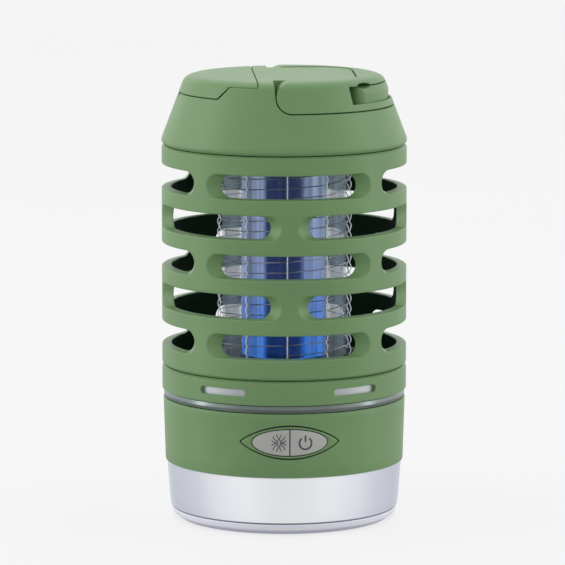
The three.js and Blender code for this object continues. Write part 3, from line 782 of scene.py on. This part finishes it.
def make_base_shell():
    """The green drum round the electronics, with the lens-shaped opening for the buttons."""
    inner = DRUM_INNER_RADIUS
    wall = Wall(shell_radius, lambda z: inner, 0.3)
    opening = lens(BEZEL_HALF_LENGTH + 0.42, BEZEL_HALF_HEIGHT + 0.42, BEZEL_POINTEDNESS)
    half = math.radians(36)
    low, high = BUTTON_Z - 8, BUTTON_Z + 8
    wall.holed(-half, half, low, high, 24, 8, opening)
    wall.plain(half, TURN - half, low, high, 96, 8)
    wall.band([
        (shell_radius(high), high),
        (shell_radius(SHELL_TOP - 0.4), SHELL_TOP - 0.4),
        (shell_radius(SHELL_TOP) - 0.1, SHELL_TOP - 0.1),
        (shell_radius(SHELL_TOP) - 0.4, SHELL_TOP),
        (inner, SHELL_TOP),
        (inner, high),
    ], 120)
    wall.band([
        (shell_radius(low), low),
        (shell_radius(LAMP_TOP + 0.4), LAMP_TOP + 0.4),
        (shell_radius(LAMP_TOP) - 0.1, LAMP_TOP + 0.1),
        (shell_radius(LAMP_TOP) - 0.4, LAMP_TOP),
        (40.5, LAMP_TOP),
        (40.5, LAMP_TOP + 0.5),
        (34.0, LAMP_TOP + 0.5),
        (34.0, LAMP_TOP + 2.2),
        (inner, LAMP_TOP + 2.2),
        (inner, low),
    ], 120)
    piece("base_shell_drum", wall.points, wall.faces, "green_plastic", "body", ["base_shell"])


# ---------------- buttons

def front_point(u, v, proud):
    """A point of the base's front face: u along it, v up from the buttons' middle."""
    z = BUTTON_Z + v
    return Vector(place(shell_radius(z) + proud, u / BODY_RADIUS, z))


def lens_ring(half_length, half_height, pointed, count=96):
    quarter = lens(half_length, half_height, pointed)([None] * (count // 4 + 1), 0.0, 0.0)
    return [(u * BODY_RADIUS, v) for u, v in full_ring(quarter)]


def make_bezel():
    """A softly crowned lens frame set in the base shell, round the two buttons."""
    rings = []
    outer = (BEZEL_HALF_LENGTH - 0.12, BEZEL_HALF_HEIGHT - 0.12)
    inner = (BUTTON_HALF_LENGTH + GAP, BUTTON_HALF_HEIGHT + GAP)
    section = [
        (0.0, -4.0), (0.0, -0.45), (0.03, -0.15), (0.12, 0.0), (0.3, 0.08),
        (0.65, 0.14), (0.9, 0.1), (0.97, -0.02), (1.0, -0.3), (1.0, -4.0),
    ]
    for blend, proud in section:
        length = outer[0] + (inner[0] - outer[0]) * blend
        height = outer[1] + (inner[1] - outer[1]) * blend
        pointed = BEZEL_POINTEDNESS * (1 - blend)
        rings.append([front_point(u, v, proud) for u, v in lens_ring(length, height, pointed)])
    points, faces = strip(rings, closed=True)
    piece("button_bezel_frame", points, faces, "green_plastic", "body", ["button_bezel"])


def make_bezel_gap_shadow():
    """The dark shadow line round the bezel, painted: a dark ring sunk in the gap stands in for its shade.
    """
    rings = []
    for growth, proud in ((-0.3, -3.0), (-0.3, -0.55), (0.6, -0.55), (0.6, -3.0)):
        outline = lens_ring(BEZEL_HALF_LENGTH + growth, BEZEL_HALF_HEIGHT + growth, BEZEL_POINTEDNESS)
        rings.append([front_point(u, v, proud) for u, v in outline])
    points, faces = strip(rings, closed=True)
    piece("bezel_gap_painted_shadow", points, faces, "dark_plastic", "body")


def half_lens_ring(side, shrink, count=96):
    """The outline of one button: half the oval, cut straight by the gap at the middle."""
    length, height = BUTTON_HALF_LENGTH - shrink, BUTTON_HALF_HEIGHT - shrink
    cut = 0.18 + shrink
    whole = lens_ring(length, height, 0.0, count * 2)
    arc = [(u, v) for u, v in whole if u > cut + 0.05]
    arc.sort(key=lambda p: math.atan2(p[1], p[0] - cut))
    top = arc[-1][1]
    steps = 20
    line = [(cut, top - 2 * top * i / steps) for i in range(steps + 1)]
    return [(side * u, v) for u, v in arc + line]


def make_button(name, side, node):
    """A crowned key cap with a rounded edge."""
    base = half_lens_ring(side, 0.0)
    middle = side * BUTTON_MIDDLE

    def scaled(scale, proud):
        return [front_point(middle + (u - middle) * scale, v * scale, proud) for u, v in base]

    rings = []
    for scale, proud in ((1.0, -2.6), (1.0, -0.3), (0.988, -0.08), (0.96, 0.03)):
        rings.append(scaled(scale, proud))
    for scale in (0.9, 0.75, 0.5, 0.25, 0.02):
        rings.append(scaled(scale, 0.03 + BUTTON_CROWN * (1 - scale ** 2)))
    piece(name, *capped_strip(rings), "button_plastic", node, [node])


def icon_stroke(name, path, body, width=0.22, closed=False):
    """A printed line on a button: a flattened bead that follows its face."""
    rings = []
    count = len(path)
    for i, (u, v) in enumerate(path):
        before = path[i - 1] if i or closed else path[i]
        after = path[(i + 1) % count] if i < count - 1 or closed else path[i]
        along = Vector((after[0] - before[0], after[1] - before[1])).normalized()
        across = Vector((-along.y, along.x))
        taper = 1.0 if closed or 0 < i < count - 1 else 0.55
        ring = []
        for cosine, sine in circle(6):
            side = width * taper * cosine
            rise = 0.07 * taper * sine
            ring.append(front_point(u + across.x * side, v + across.y * side, button_crown(u, v) + rise))
        rings.append(ring)
    mesh = strip(rings, closed=True) if closed else capped_strip(rings)
    piece(name, *mesh, "button_plastic", body, material="icon_ink")


def button_crown(u, v):
    """How proud a button's crowned face stands at a point."""
    side_reach = abs(abs(u) - BUTTON_MIDDLE) / (BUTTON_HALF_LENGTH - BUTTON_MIDDLE)
    reach = max(abs(v) / BUTTON_HALF_HEIGHT, side_reach)
    return 0.03 + BUTTON_CROWN * (1 - min(reach, 1.0) ** 2)


def make_icons():
    """Generic marks: a power ring with its bar, and a small insect with its legs and feelers."""
    ring = arc(BUTTON_MIDDLE, -0.15, 2.2, 125, 415, 24)
    icon_stroke("power_icon_ring", ring, "button_power", 0.34)
    bar = [(BUTTON_MIDDLE, 2.75 - 0.5 * i) for i in range(6)]
    icon_stroke("power_icon_bar", bar, "button_power", 0.34)
    bug = -3.95
    body = [(bug + 0.55 * cosine, 1.25 * sine) for cosine, sine in circle(16)]
    icon_stroke("insect_icon_body", body, "button_mode", 0.15, closed=True)
    legs = [
        ((0.2, 1.2), (0.3, 2.2), (1.0, 3.1)),
        ((0.5, 0.6), (1.7, 0.9), (2.2, 2.5)),
        ((0.6, 0.2), (1.9, -0.1), (2.6, 1.0)),
        ((0.6, -0.3), (1.9, 0.1), (2.6, -1.0)),
        ((0.5, -0.7), (1.7, -0.9), (2.2, -2.6)),
        ((0.2, -1.2), (0.4, -2.2), (1.0, -3.1)),
    ]
    for side, word in ((-1, "left"), (1, "right")):
        for k, corners in enumerate(legs):
            root, bend, tip = (Vector((bug + side * x, y)) for x, y in corners)
            path = [root] + bezier(root, bend, tip, 6) + [tip]
            icon_stroke(f"insect_icon_leg_{word}_{k + 1}", path, "button_mode", 0.17)


# ---------------- cap pieces

def cap_profile(top, inset=0.0, chamfer=0.8):
    """The cap's outside: a chamfered rim, a cone and a rounded top edge."""
    rim = CAP_RIM_RADIUS - inset

    def radius(z):
        return rim - CAP_SLOPE * (z - CAP_RIM_Z)

    lower = rounded([
        (0.0, GUARD_TOP + GAP, 0),
        (rim - chamfer, GUARD_TOP + GAP, 0.15),
        (rim, CAP_RIM_Z - 0.7, 0.5),
        (radius(CAP_RIM_Z + 0.4), CAP_RIM_Z + 0.4, 0.5),
        (radius(top - SHOULDER_DROP), top - SHOULDER_DROP, 0),
    ])
    corner = Vector((radius(top), top))
    flat_edge = Vector((radius(top) - SHOULDER_REACH, top))
    return lower + bezier(lower[-1], corner, flat_edge, 12) + [flat_edge, Vector((0.0, top))]


def raw(points, faces):
    """A scratch mesh object in millimetres, for cutting."""
    return mesh_object("scratch", [tuple(p) for p in points], faces, 1e-4)


def raw_lathe(profile, segments=160):
    return raw(*lathe(profile, segments))


def raw_prism(outline, low, high, along="Z"):
    """A prism on a plan outline (along Z) or on a side view of X and Z (along Y)."""
    count = len(outline)
    if along == "Z":
        points = [(x, y, h) for h in (low, high) for x, y in outline]
    else:
        points = [(x, h, z) for h in (low, high) for x, z in outline]
    faces = [[k, (k + 1) % count, count + (k + 1) % count, count + k] for k in range(count)]
    faces += [list(range(count)), list(range(count, 2 * count))]
    return raw(points, faces)


def raw_box(low, high):
    corners = [(low[0], low[1]), (high[0], low[1]), (high[0], high[1]), (low[0], high[1])]
    return raw_prism(corners, low[2], high[2])


def combine(first, others, operation):
    """Joins, cuts or intersects scratch solids, and clears the tools away."""
    for other in others:
        modifier = first.modifiers.new("combine", "BOOLEAN")
        modifier.operation = operation
        modifier.solver = "MANIFOLD"
        modifier.object = other
        apply_modifiers(first)
        bpy.data.objects.remove(other)


def apply_modifiers(obj):
    bpy.context.view_layer.update()
    graph = bpy.context.evaluated_depsgraph_get()
    mesh = bpy.data.meshes.new_from_object(obj.evaluated_get(graph))
    obj.modifiers.clear()
    obj.data = mesh


def soften(obj, voxel, keep):
    """Rounds every edge a little by remeshing and smoothing, then thins the mesh out."""
    remesh = obj.modifiers.new("remesh", "REMESH")
    remesh.mode = "VOXEL"
    remesh.voxel_size = voxel
    smooth = obj.modifiers.new("smooth", "SMOOTH")
    smooth.factor = 0.5
    smooth.iterations = 4
    thin = obj.modifiers.new("thin", "DECIMATE")
    thin.ratio = keep
    apply_modifiers(obj)


def finish_scratch(obj, name, *options, **more):
    """Turns a scratch solid in millimetres into a dressed piece in metres."""
    obj.data.transform(Matrix.Scale(MM, 4))
    obj.name = name
    dress(obj, *options, **more)


def arc(x, y, radius, start, end, steps=14):
    """Points on an arc; angles in degrees, anticlockwise from +X."""
    found = []
    for k in range(steps + 1):
        turn = math.radians(start + (end - start) * k / steps)
        found.append((x + radius * math.cos(turn), y + radius * math.sin(turn)))
    return found


def cover_outline(margin, ledge_gap):
    """Side view of the port cover's area, grown by a margin, with a rounded upper bend."""
    top = CAP_TOP - COVER_THICKNESS - ledge_gap
    low = COVER_SKIRT_Z - margin
    return [
        (-60, low), (-25.2 + margin, low), (-24.6 + margin, low + 0.3), (-21.6 + margin, top - 1.0),
        (-21.0 + margin, top - 0.3), (-20.2 + margin, top), (COVER_SEAM_X + margin, top),
        (COVER_SEAM_X + margin, 170), (-60, 170),
    ]


def plateau_outline(start_x, margin):
    side = PLATEAU_HALF_WIDTH + margin
    end = PLATEAU_END_X + margin
    corner = PLATEAU_CORNER + margin
    return (
        [(start_x, -side)]
        + arc(end - corner, -side + corner, corner, -90, 0)
        + arc(end - corner, side - corner, corner, 0, 90)
        + [(start_x, side)]
    )


def sector_outline(inner, outer, half_angle):
    return arc(0, 0, outer, -half_angle, half_angle, 24) + arc(0, 0, inner, half_angle, -half_angle, 24)


def pocket_outline():
    radius = EAR_RADIUS + 0.35
    return [(60, 170), (HINGE_X - radius - 1.3, 170)] + arc(HINGE_X, HINGE_Z, radius, 180, 270) + [
        (60, HINGE_Z - radius)]


def block_outline():
    """The fixed block under the handle's plate, its two outer corners well rounded."""
    half = BLOCK_HALF_ANGLE
    corner = 4.5
    turn = math.degrees(corner / BLOCK_RADIUS)
    outer = arc(0, 0, BLOCK_RADIUS, -half + turn, half - turn, 24)
    ends = []
    for sign in (1, -1):
        edge = math.radians(sign * half)
        tip = Vector((math.cos(edge), math.sin(edge))) * BLOCK_RADIUS
        inward = tip.normalized() * -corner
        start = Vector(outer[-1] if sign > 0 else outer[0])
        curve = [start] + bezier(start, tip, tip + inward, 6) + [tip + inward]
        ends.append([tuple(p) for p in curve])
    inner = PLATEAU_END_X - 8
    half_turn = math.radians(half)
    root = [(inner * math.cos(half_turn), inner * math.sin(half_turn)),
            (inner * math.cos(half_turn), -inner * math.sin(half_turn))]
    return outer + ends[0][1:] + root + list(reversed(ends[1][1:]))


def make_port_cover():
    skin = raw_lathe(cap_profile(CAP_TOP))
    core = raw_lathe(cap_profile(CAP_TOP - COVER_THICKNESS, 2.0))
    combine(skin, [core], "DIFFERENCE")
    combine(skin, [raw_prism(cover_outline(0.0, 0.0), -60, 60, "Y")], "INTERSECT")
    soften(skin, 0.2, 0.35)
    finish_scratch(skin, "port_cover_flap", "green_plastic", "port_cover", ["port_cover"], sharp=80)


def make_handle():
    body = raw_lathe(cap_profile(HANDLE_TOP))
    floor = HINGE_Z - EAR_RADIUS + 0.1
    side = [(60, floor), (60, 170), (HINGE_X, 170)] + arc(HINGE_X, HINGE_Z, EAR_RADIUS, 90, 270)
    combine(body, [raw_prism(side, -60, 60, "Y")], "INTERSECT")
    cuts = [
        raw_prism(plateau_outline(-30, LOOP_GAP), 120, 170),
        raw_prism(sector_outline(5, 60, WINDOW_HALF_ANGLE), WINDOW_BOTTOM, BLOCK_TOP + 0.4),
        raw_prism(sector_outline(5, STRIP_INNER_RADIUS, WINDOW_HALF_ANGLE), 140, WINDOW_BOTTOM + 0.1),
    ]
    combine(body, cuts + [thumb_scoop(), thumb_slit()], "DIFFERENCE")
    soften(body, 0.2, 0.35)
    finish_scratch(body, "bail_handle", "green_plastic", "handle", ["handle"], sharp=80)


def ellipsoid(size, radius, angle, z):
    """A scratch ellipsoid, its first size radial, at an angle in degrees from +X towards -Y."""
    bpy.ops.mesh.primitive_uv_sphere_add(segments=48, ring_count=24, radius=1)
    shape = bpy.context.active_object
    turn = math.radians(angle)
    shape.data.transform(Matrix.Diagonal((*size, 1)))
    shape.data.transform(Matrix.Rotation(-turn, 4, "Z"))
    shape.data.transform(Matrix.Translation((radius * math.cos(turn), -radius * math.sin(turn), z)))
    return shape


def thumb_scoop():
    """A shallow scoop in the handle's plate edge, where a thumb lifts it."""
    return ellipsoid((3.6, 3.8, 1.9), 37.6, 38, 160.9)


def thumb_slit():
    """The slit under the scoop that lets a fingernail in below the plate."""
    return ellipsoid((5.2, 3.9, 1.0), 37.2, 41, 158.3)


def make_cap_shell():
    shell = raw_lathe(cap_profile(CAP_TOP))
    floor = HINGE_Z - EAR_RADIUS - 1
    pocket = raw_prism(pocket_outline(), -60, 60, "Y")
    kept = raw_prism(plateau_outline(-20, 0), floor, CAP_TOP)
    combine(kept, [raw_prism(block_outline(), floor, BLOCK_TOP)], "UNION")
    combine(pocket, [kept], "DIFFERENCE")
    skin = raw_lathe(cap_profile(CAP_TOP + GAP, -GAP))
    core = raw_lathe(cap_profile(CAP_TOP - COVER_THICKNESS - 0.1, 2.0 + GAP))
    combine(skin, [core], "DIFFERENCE")
    combine(skin, [raw_prism(cover_outline(GAP, 0.1), -60, 60, "Y")], "INTERSECT")
    cavity = raw_lathe(cap_profile(CAVITY_TOP, CAP_WALL))
    bay = raw_lathe(cap_profile(PORT_BAY_TOP, 2 * CAP_WALL))
    combine(bay, [raw_box((-50, -50, 130), (PORT_BAY_X, 50, 170))], "INTERSECT")
    mouth = raw_box((-50, -4.9, 152.6), (-28, 4.9, 156.3))
    combine(shell, [pocket, skin, cavity, bay, mouth], "DIFFERENCE")
    rim = CAP_RIM_Z + 0.6
    opening = raw_lathe([Vector(corner) for corner in ((0, 130), (40.8, 130), (40.8, rim), (0, rim))])
    combine(shell, [opening, thumb_slit()], "DIFFERENCE")
    soften(shell, 0.22, 0.3)
    finish_scratch(shell, "cap_shell_dome", "green_plastic", "body", ["cap_shell"], sharp=80)


# ---------------- grid and lamp column

def make_former():
    """Clear tube with ten ribs whose scalloped edges hold the wires apart."""
    section = hollow(FORMER_RADIUS - 1, FORMER_RADIUS, FORMER_BOTTOM, FORMER_TOP, (0.2, 0.2, 0.2, 0.2))
    piece("grid_former_tube", *lathe(rounded(section, 2), 120), "clear_plastic", "body", ["grid_former"])
    pitch = WIRE_PITCH / 2
    count = int((FORMER_TOP - FORMER_BOTTOM) / pitch)
    for rib in range(RIB_COUNT):
        angle = TURN * rib / RIB_COUNT
        phase = (rib / RIB_COUNT * WIRE_PITCH) % pitch
        make_rib(f"grid_rib_{rib + 1}", angle, phase, pitch, count)


def make_rib(name, angle, phase, pitch, count):
    """One scalloped rib: round teeth with a notch at each wire."""
    edge = []
    total = count * 8
    for i in range(total + 1):
        z = FORMER_BOTTOM + 0.4 + (FORMER_TOP - FORMER_BOTTOM - 0.8) * i / total
        along = ((z - FORMER_BOTTOM - 2.4 - phase) / pitch) % 1.0
        tooth = math.sqrt(max(0.0, 1 - (2 * along - 1) ** 2))
        edge.append((RIB_NOTCH + (RIB_PEAK - RIB_NOTCH) * tooth, z))
    root = FORMER_RADIUS - 0.3
    rings = []
    for r, z in edge:
        section = ((root, -0.5), (r - 0.2, -0.45), (r, -0.2), (r, 0.2), (r - 0.2, 0.45), (root, 0.5))
        rings.append([beside(radius, angle, z, side) for radius, side in section])
    piece(name, *capped_strip(rings), "clear_plastic", "body")
    # Pale glowing beads along the rib's edge: a painted highlight.
    beads = []
    for r, z in edge[::2]:
        beads.append([beside(r + 0.2 * cosine, angle, z, 0.24 * sine) for cosine, sine in circle(6)])
    piece(name + "_edge", *capped_strip(beads), "clear_plastic", "body", material="painted_highlight_rib_beads")


def beside(radius, angle, z, side):
    """A point beside a radial line, off to its side in millimetres."""
    x, y, _ = place(radius, angle, z)
    return (x + side * math.cos(angle), y + side * math.sin(angle), z)


def make_sleeve():
    """Inner clear sleeve with fine flutes, between the lamp column and the grid."""
    turns = [TURN * k / SLEEVE_SIDES for k in range(SLEEVE_SIDES)]
    outer = [(SLEEVE_RADIUS - 0.1 + 0.08 * math.cos(SLEEVE_FLUTES * turn), turn) for turn in turns]
    inner = [(SLEEVE_RADIUS - 1.0, turn) for turn in turns]
    rings = []
    low, high = FORMER_BOTTOM, FORMER_TOP
    for face, z in ((outer, low), (outer, high), (inner, high), (inner, low)):
        rings.append([place(radius, turn, z) for radius, turn in face])
    piece("lamp_sleeve_tube", *strip(rings, closed=True), "clear_plastic", "body", ["lamp_sleeve"],
          material="fluted_sleeve")


def make_wire(name, start, node):
    """A wire pulled straight from rib to rib, spiralling up."""
    corners = WIRE_TURNS * RIB_COUNT
    path = []
    for k in range(corners + 1):
        angle = start + TURN * k / RIB_COUNT
        height = FORMER_BOTTOM + 2.4 + WIRE_PITCH * k / RIB_COUNT
        path.append(Vector(place(WIRE_HELIX_RADIUS, angle, height)))
    rings = []
    for i, spot in enumerate(path):
        ahead = path[min(i + 1, corners)] - path[max(i - 1, 0)]
        outward = Vector((spot.x, spot.y, 0)).normalized()
        up = ahead.cross(outward).normalized()
        rings.append([spot + (outward * cosine + up * sine) * WIRE_RADIUS for cosine, sine in circle(8)])
    piece(name, *capped_strip(rings), "steel", "body", [node])


def make_column():
    section = hollow(COLUMN_RADIUS - 1.2, COLUMN_RADIUS, FORMER_BOTTOM, FORMER_TOP, (0.2, 0.3, 0.3, 0.2))
    turned("uv_column_tube", section, "uv_lens", "body", ["uv_column"], 72)


# ---------------- foot plate and its screws

def foot_screw_spots():
    return [place(FOOT_SCREW_CIRCLE, TURN * k / FOOT_SCREWS, 0.0) for k in range(FOOT_SCREWS)]


def make_foot_plate():
    """The disc that closes the foot, with a sunk seat for each screw."""
    plate = raw_lathe(rounded([
        (0.0, 1.2, 0),
        (29.2, 1.2, 0.4),
        (30.6, 0.0, 0.4),
        (37.4, 0.0, 1.2),
        (40.2, 1.9, 2.5),
        (41.0, FOOT_TOP, 0.3),
        (38.3, FOOT_TOP, 0.1),
        (38.3, 5.5, 0.2),
        (0.0, 5.5, 0),
    ]))
    corners = ((0, 0), (3.4, 0), (3.4, 1.2), (3.0, 1.6), (3.0, 3.0), (1.5, 3.0), (1.5, 8.0), (0, 8.0))
    outline = [Vector(corner) for corner in corners]
    seats = []
    for spot in foot_screw_spots():
        seat = raw_lathe(outline, 48)
        seat.data.transform(Matrix.Translation(spot))
        seats.append(seat)
    combine(plate, seats, "DIFFERENCE")
    finish_scratch(plate, "foot_plate_disc", "diffuser_plastic", "body", ["foot_plate"], "foot_plastic")


def make_foot_screws():
    """Round-headed screws with a cross recess, seen from below."""
    profile = rounded([
        (0, 1.5, 0),
        (2.0, 1.5, 0.5),
        (2.6, 2.7, 0.3),
        (1.2, 2.7, 0.1),
        (1.2, 8.9, 0.3),
        (0, 8.9, 0),
    ])
    for k, spot in enumerate(foot_screw_spots()):
        screw = raw_lathe(profile, 40)
        for x, y in ((1.3, 0.25), (0.25, 1.3)):
            combine(screw, [raw_box((-x, -y, 1.0), (x, y, 2.1))], "DIFFERENCE")
        screw.data.transform(Matrix.Translation(spot))
        finish_scratch(screw, f"foot_screw_{k + 1}_cross", "steel", "body", [f"foot_screw_{k + 1}"])


# ---------------- rings and discs of the base and the grid

def make_trim_ring():
    turned("trim_ring_band", [
        (40.6, SHELL_TOP + 0.15, 0.1),
        (43.1, SHELL_TOP + 0.15, 0.3),
        (43.45, (SHELL_TOP + TRIM_TOP) / 2, 1.2),
        (43.1, TRIM_TOP + 0.15, 0.3),
        (40.6, TRIM_TOP + 0.15, 0.1),
    ], "trim_silver", "body", ["trim_ring"])


def make_vent_liner():
    """The silver ring that shows through the vents."""
    liner = hollow(39.6, 42.6, TRIM_TOP + 1, COLLAR_TOP - 2.5, (0.1, 0.2, 0.2, 0.1))
    turned("vent_liner_ring", liner, "trim_silver", "body", ["vent_liner"], material="vent_silver")


def make_diffuser():
    turned("lamp_diffuser_ring", [
        (38.8, FOOT_TOP + 0.6, 0.2),
        (40.95, FOOT_TOP + 0.6, 0.35),
        (41.35, FOOT_TOP + 4.0, 6.0),
        (42.3, LAMP_TOP - 0.15, 0.3),
        (40.1, LAMP_TOP - 0.15, 0.2),
    ], "diffuser_plastic", "body", ["lamp_diffuser"])


def make_foot_gap_shadow():
    """The dark line between the diffuser and the foot plate, painted: a dark ring sunk in the gap stands
    in for its shade.
    """
    seal = hollow(38.6, 40.3, FOOT_TOP - 0.1, FOOT_TOP + 0.7, (0.05, 0.05, 0.05, 0.05))
    turned("foot_gap_painted_shadow_ring", seal, "diffuser_plastic", "body", material="painted_shade_foot_gap")


def make_grid_plates():
    """The two dark discs that hold the grid's ends."""
    lower = hollow(6.2, 27, COLLAR_TOP + GAP, FORMER_BOTTOM - GAP, (0.2, 0.3, 0.8, 0.2))
    turned("grid_lower_plate_disc", lower, "dark_plastic", "body", ["grid_lower_plate"], 96)
    upper = hollow(6.2, 27, FORMER_TOP + GAP, GUARD_TOP - 1.4, (0.2, 0.5, 0.3, 0.2))
    turned("grid_upper_plate_disc", upper, "dark_plastic", "body", ["grid_upper_plate"], 96)


# ---------------- CAD nodes that stay

def dress_cad_nodes():
    """Gives every CAD node its slot's procedural material."""
    slots = {row["node"]: row["material_slot"] for row in frame["record"]["subparts"]}
    for name, obj in frame["nodes"].items():
        obj.data.materials.clear()
        obj.data.materials.append(materials[slots[name]])


# ---------------- stage

def make_stage():
    """A pale floor, and a world with a bright backdrop, bright sides and a dim front."""
    bpy.ops.mesh.primitive_plane_add(size=8.0, location=(0, 0, -0.0002))
    floor = bpy.context.active_object
    floor.name = "studio_floor"
    material, shader = new_material("pale_floor")
    colour_ramp(material, object_noise(material, 3.0), [
        (0.3, grey(0.27)),
        (0.7, grey(0.28)),
    ], shader.inputs["Base Color"])
    set_inputs(shader, {
        "Roughness": 1.0,
        "Specular IOR Level": 0.0,
        "Emission Color": (1, 1, 1, 1),
        "Emission Strength": FLOOR_GLOW,
    })
    floor.data.materials.append(material)
    floor.visible_glossy = False
    floor.visible_diffuse = False
    make_world()


def make_world():
    """A bright backdrop for the camera; the light is dimmer from the front, below and above."""
    world = bpy.data.worlds.new("studio")
    bpy.context.scene.world = world
    world.use_nodes = True
    nodes = world.node_tree.nodes
    axes = axes_of(world, "Generated")
    strength = rescale(world, axes["Y"], (-0.80, -0.30), (FRONT_LIGHT, SIDE_LIGHT), "SMOOTHSTEP")
    below = rescale(world, axes["Z"], (-0.35, 0.10), (LOW_LIGHT, 1.0), "SMOOTHSTEP")
    above = rescale(world, axes["Z"], (0.2, 0.8), (1.0, HIGH_LIGHT))
    for share in (below, above):
        strength = arithmetic(world, "MULTIPLY", strength, share)
    lit = nodes["Background"]
    lit.inputs["Color"].default_value = (1, 1, 1, 1)
    link(world, strength, lit.inputs["Strength"])
    seen = add_node(world, "ShaderNodeBackground", Color=(1, 1, 1, 1), Strength=BACKDROP)
    path = add_node(world, "ShaderNodeLightPath")
    choose = add_node(world, "ShaderNodeMixShader")
    link(world, path.outputs["Is Camera Ray"], choose.inputs["Fac"])
    link(world, lit.outputs["Background"], choose.inputs[1])
    link(world, seen.outputs["Background"], choose.inputs[2])
    link(world, choose.outputs["Shader"], nodes["World Output"].inputs["Surface"])


def area_light(name, azimuth, height, distance, size, power):
    """A soft rectangle of light, turned towards the middle of the object."""
    light = bpy.data.lights.new(name, "AREA")
    light.shape = "RECTANGLE"
    light.size, light.size_y = size
    light.energy = power
    put_facing(scene_object(name, light), azimuth, distance, height, Vector((0, 0, 0.08)))


def put_facing(obj, azimuth, distance, height, aim):
    """Places a light or camera and turns it to its aim, in metres."""
    obj.location = place(distance, math.radians(azimuth), height)
    obj.rotation_euler = (aim - obj.location).to_track_quat("-Z", "Y").to_euler()


def make_lights():
    area_light("left_softbox", -88, 0.30, 0.9, (0.2, 1.0), 1.4)
    area_light("right_softbox", 84, 0.30, 0.9, (0.2, 1.0), 1.0)
    area_light("top_softbox", 180, 0.9, 0.6, (0.9, 0.6), 0.4)


def make_camera():
    """The photograph's long lens, a little to the left of the front and above."""
    data = bpy.data.cameras.new("camera")
    data.sensor_width = 36.0
    data.lens = CAMERA_LENS
    data.clip_end = 20.0
    obj = scene_object("camera", data)
    put_facing(obj, CAMERA_AZIMUTH, CAMERA_DISTANCE, CAMERA_HEIGHT, Vector(CAMERA_AIM))
    bpy.context.scene.camera = obj


def main():
    bpy.context.scene.view_settings.view_transform = "Standard"
    make_camera()
    make_stage()
    make_lights()
    dress_cad_nodes()
    make_guard()
    make_collar()
    make_base_shell()
    make_bezel()
    make_bezel_gap_shadow()
    make_button("mode_button_cap", -1, "button_mode")
    make_button("power_button_cap", 1, "button_power")
    make_icons()
    make_trim_ring()
    make_vent_liner()
    make_diffuser()
    make_foot_gap_shadow()
    make_grid_plates()
    make_foot_plate()
    make_foot_screws()
    make_former()
    make_wire("live_wire_spiral", 0.0, "grid_wire_live")
    make_wire("return_wire_spiral", math.pi, "grid_wire_return")
    make_column()
    make_sleeve()
    make_port_cover()
    make_handle()
    make_cap_shell()


main()
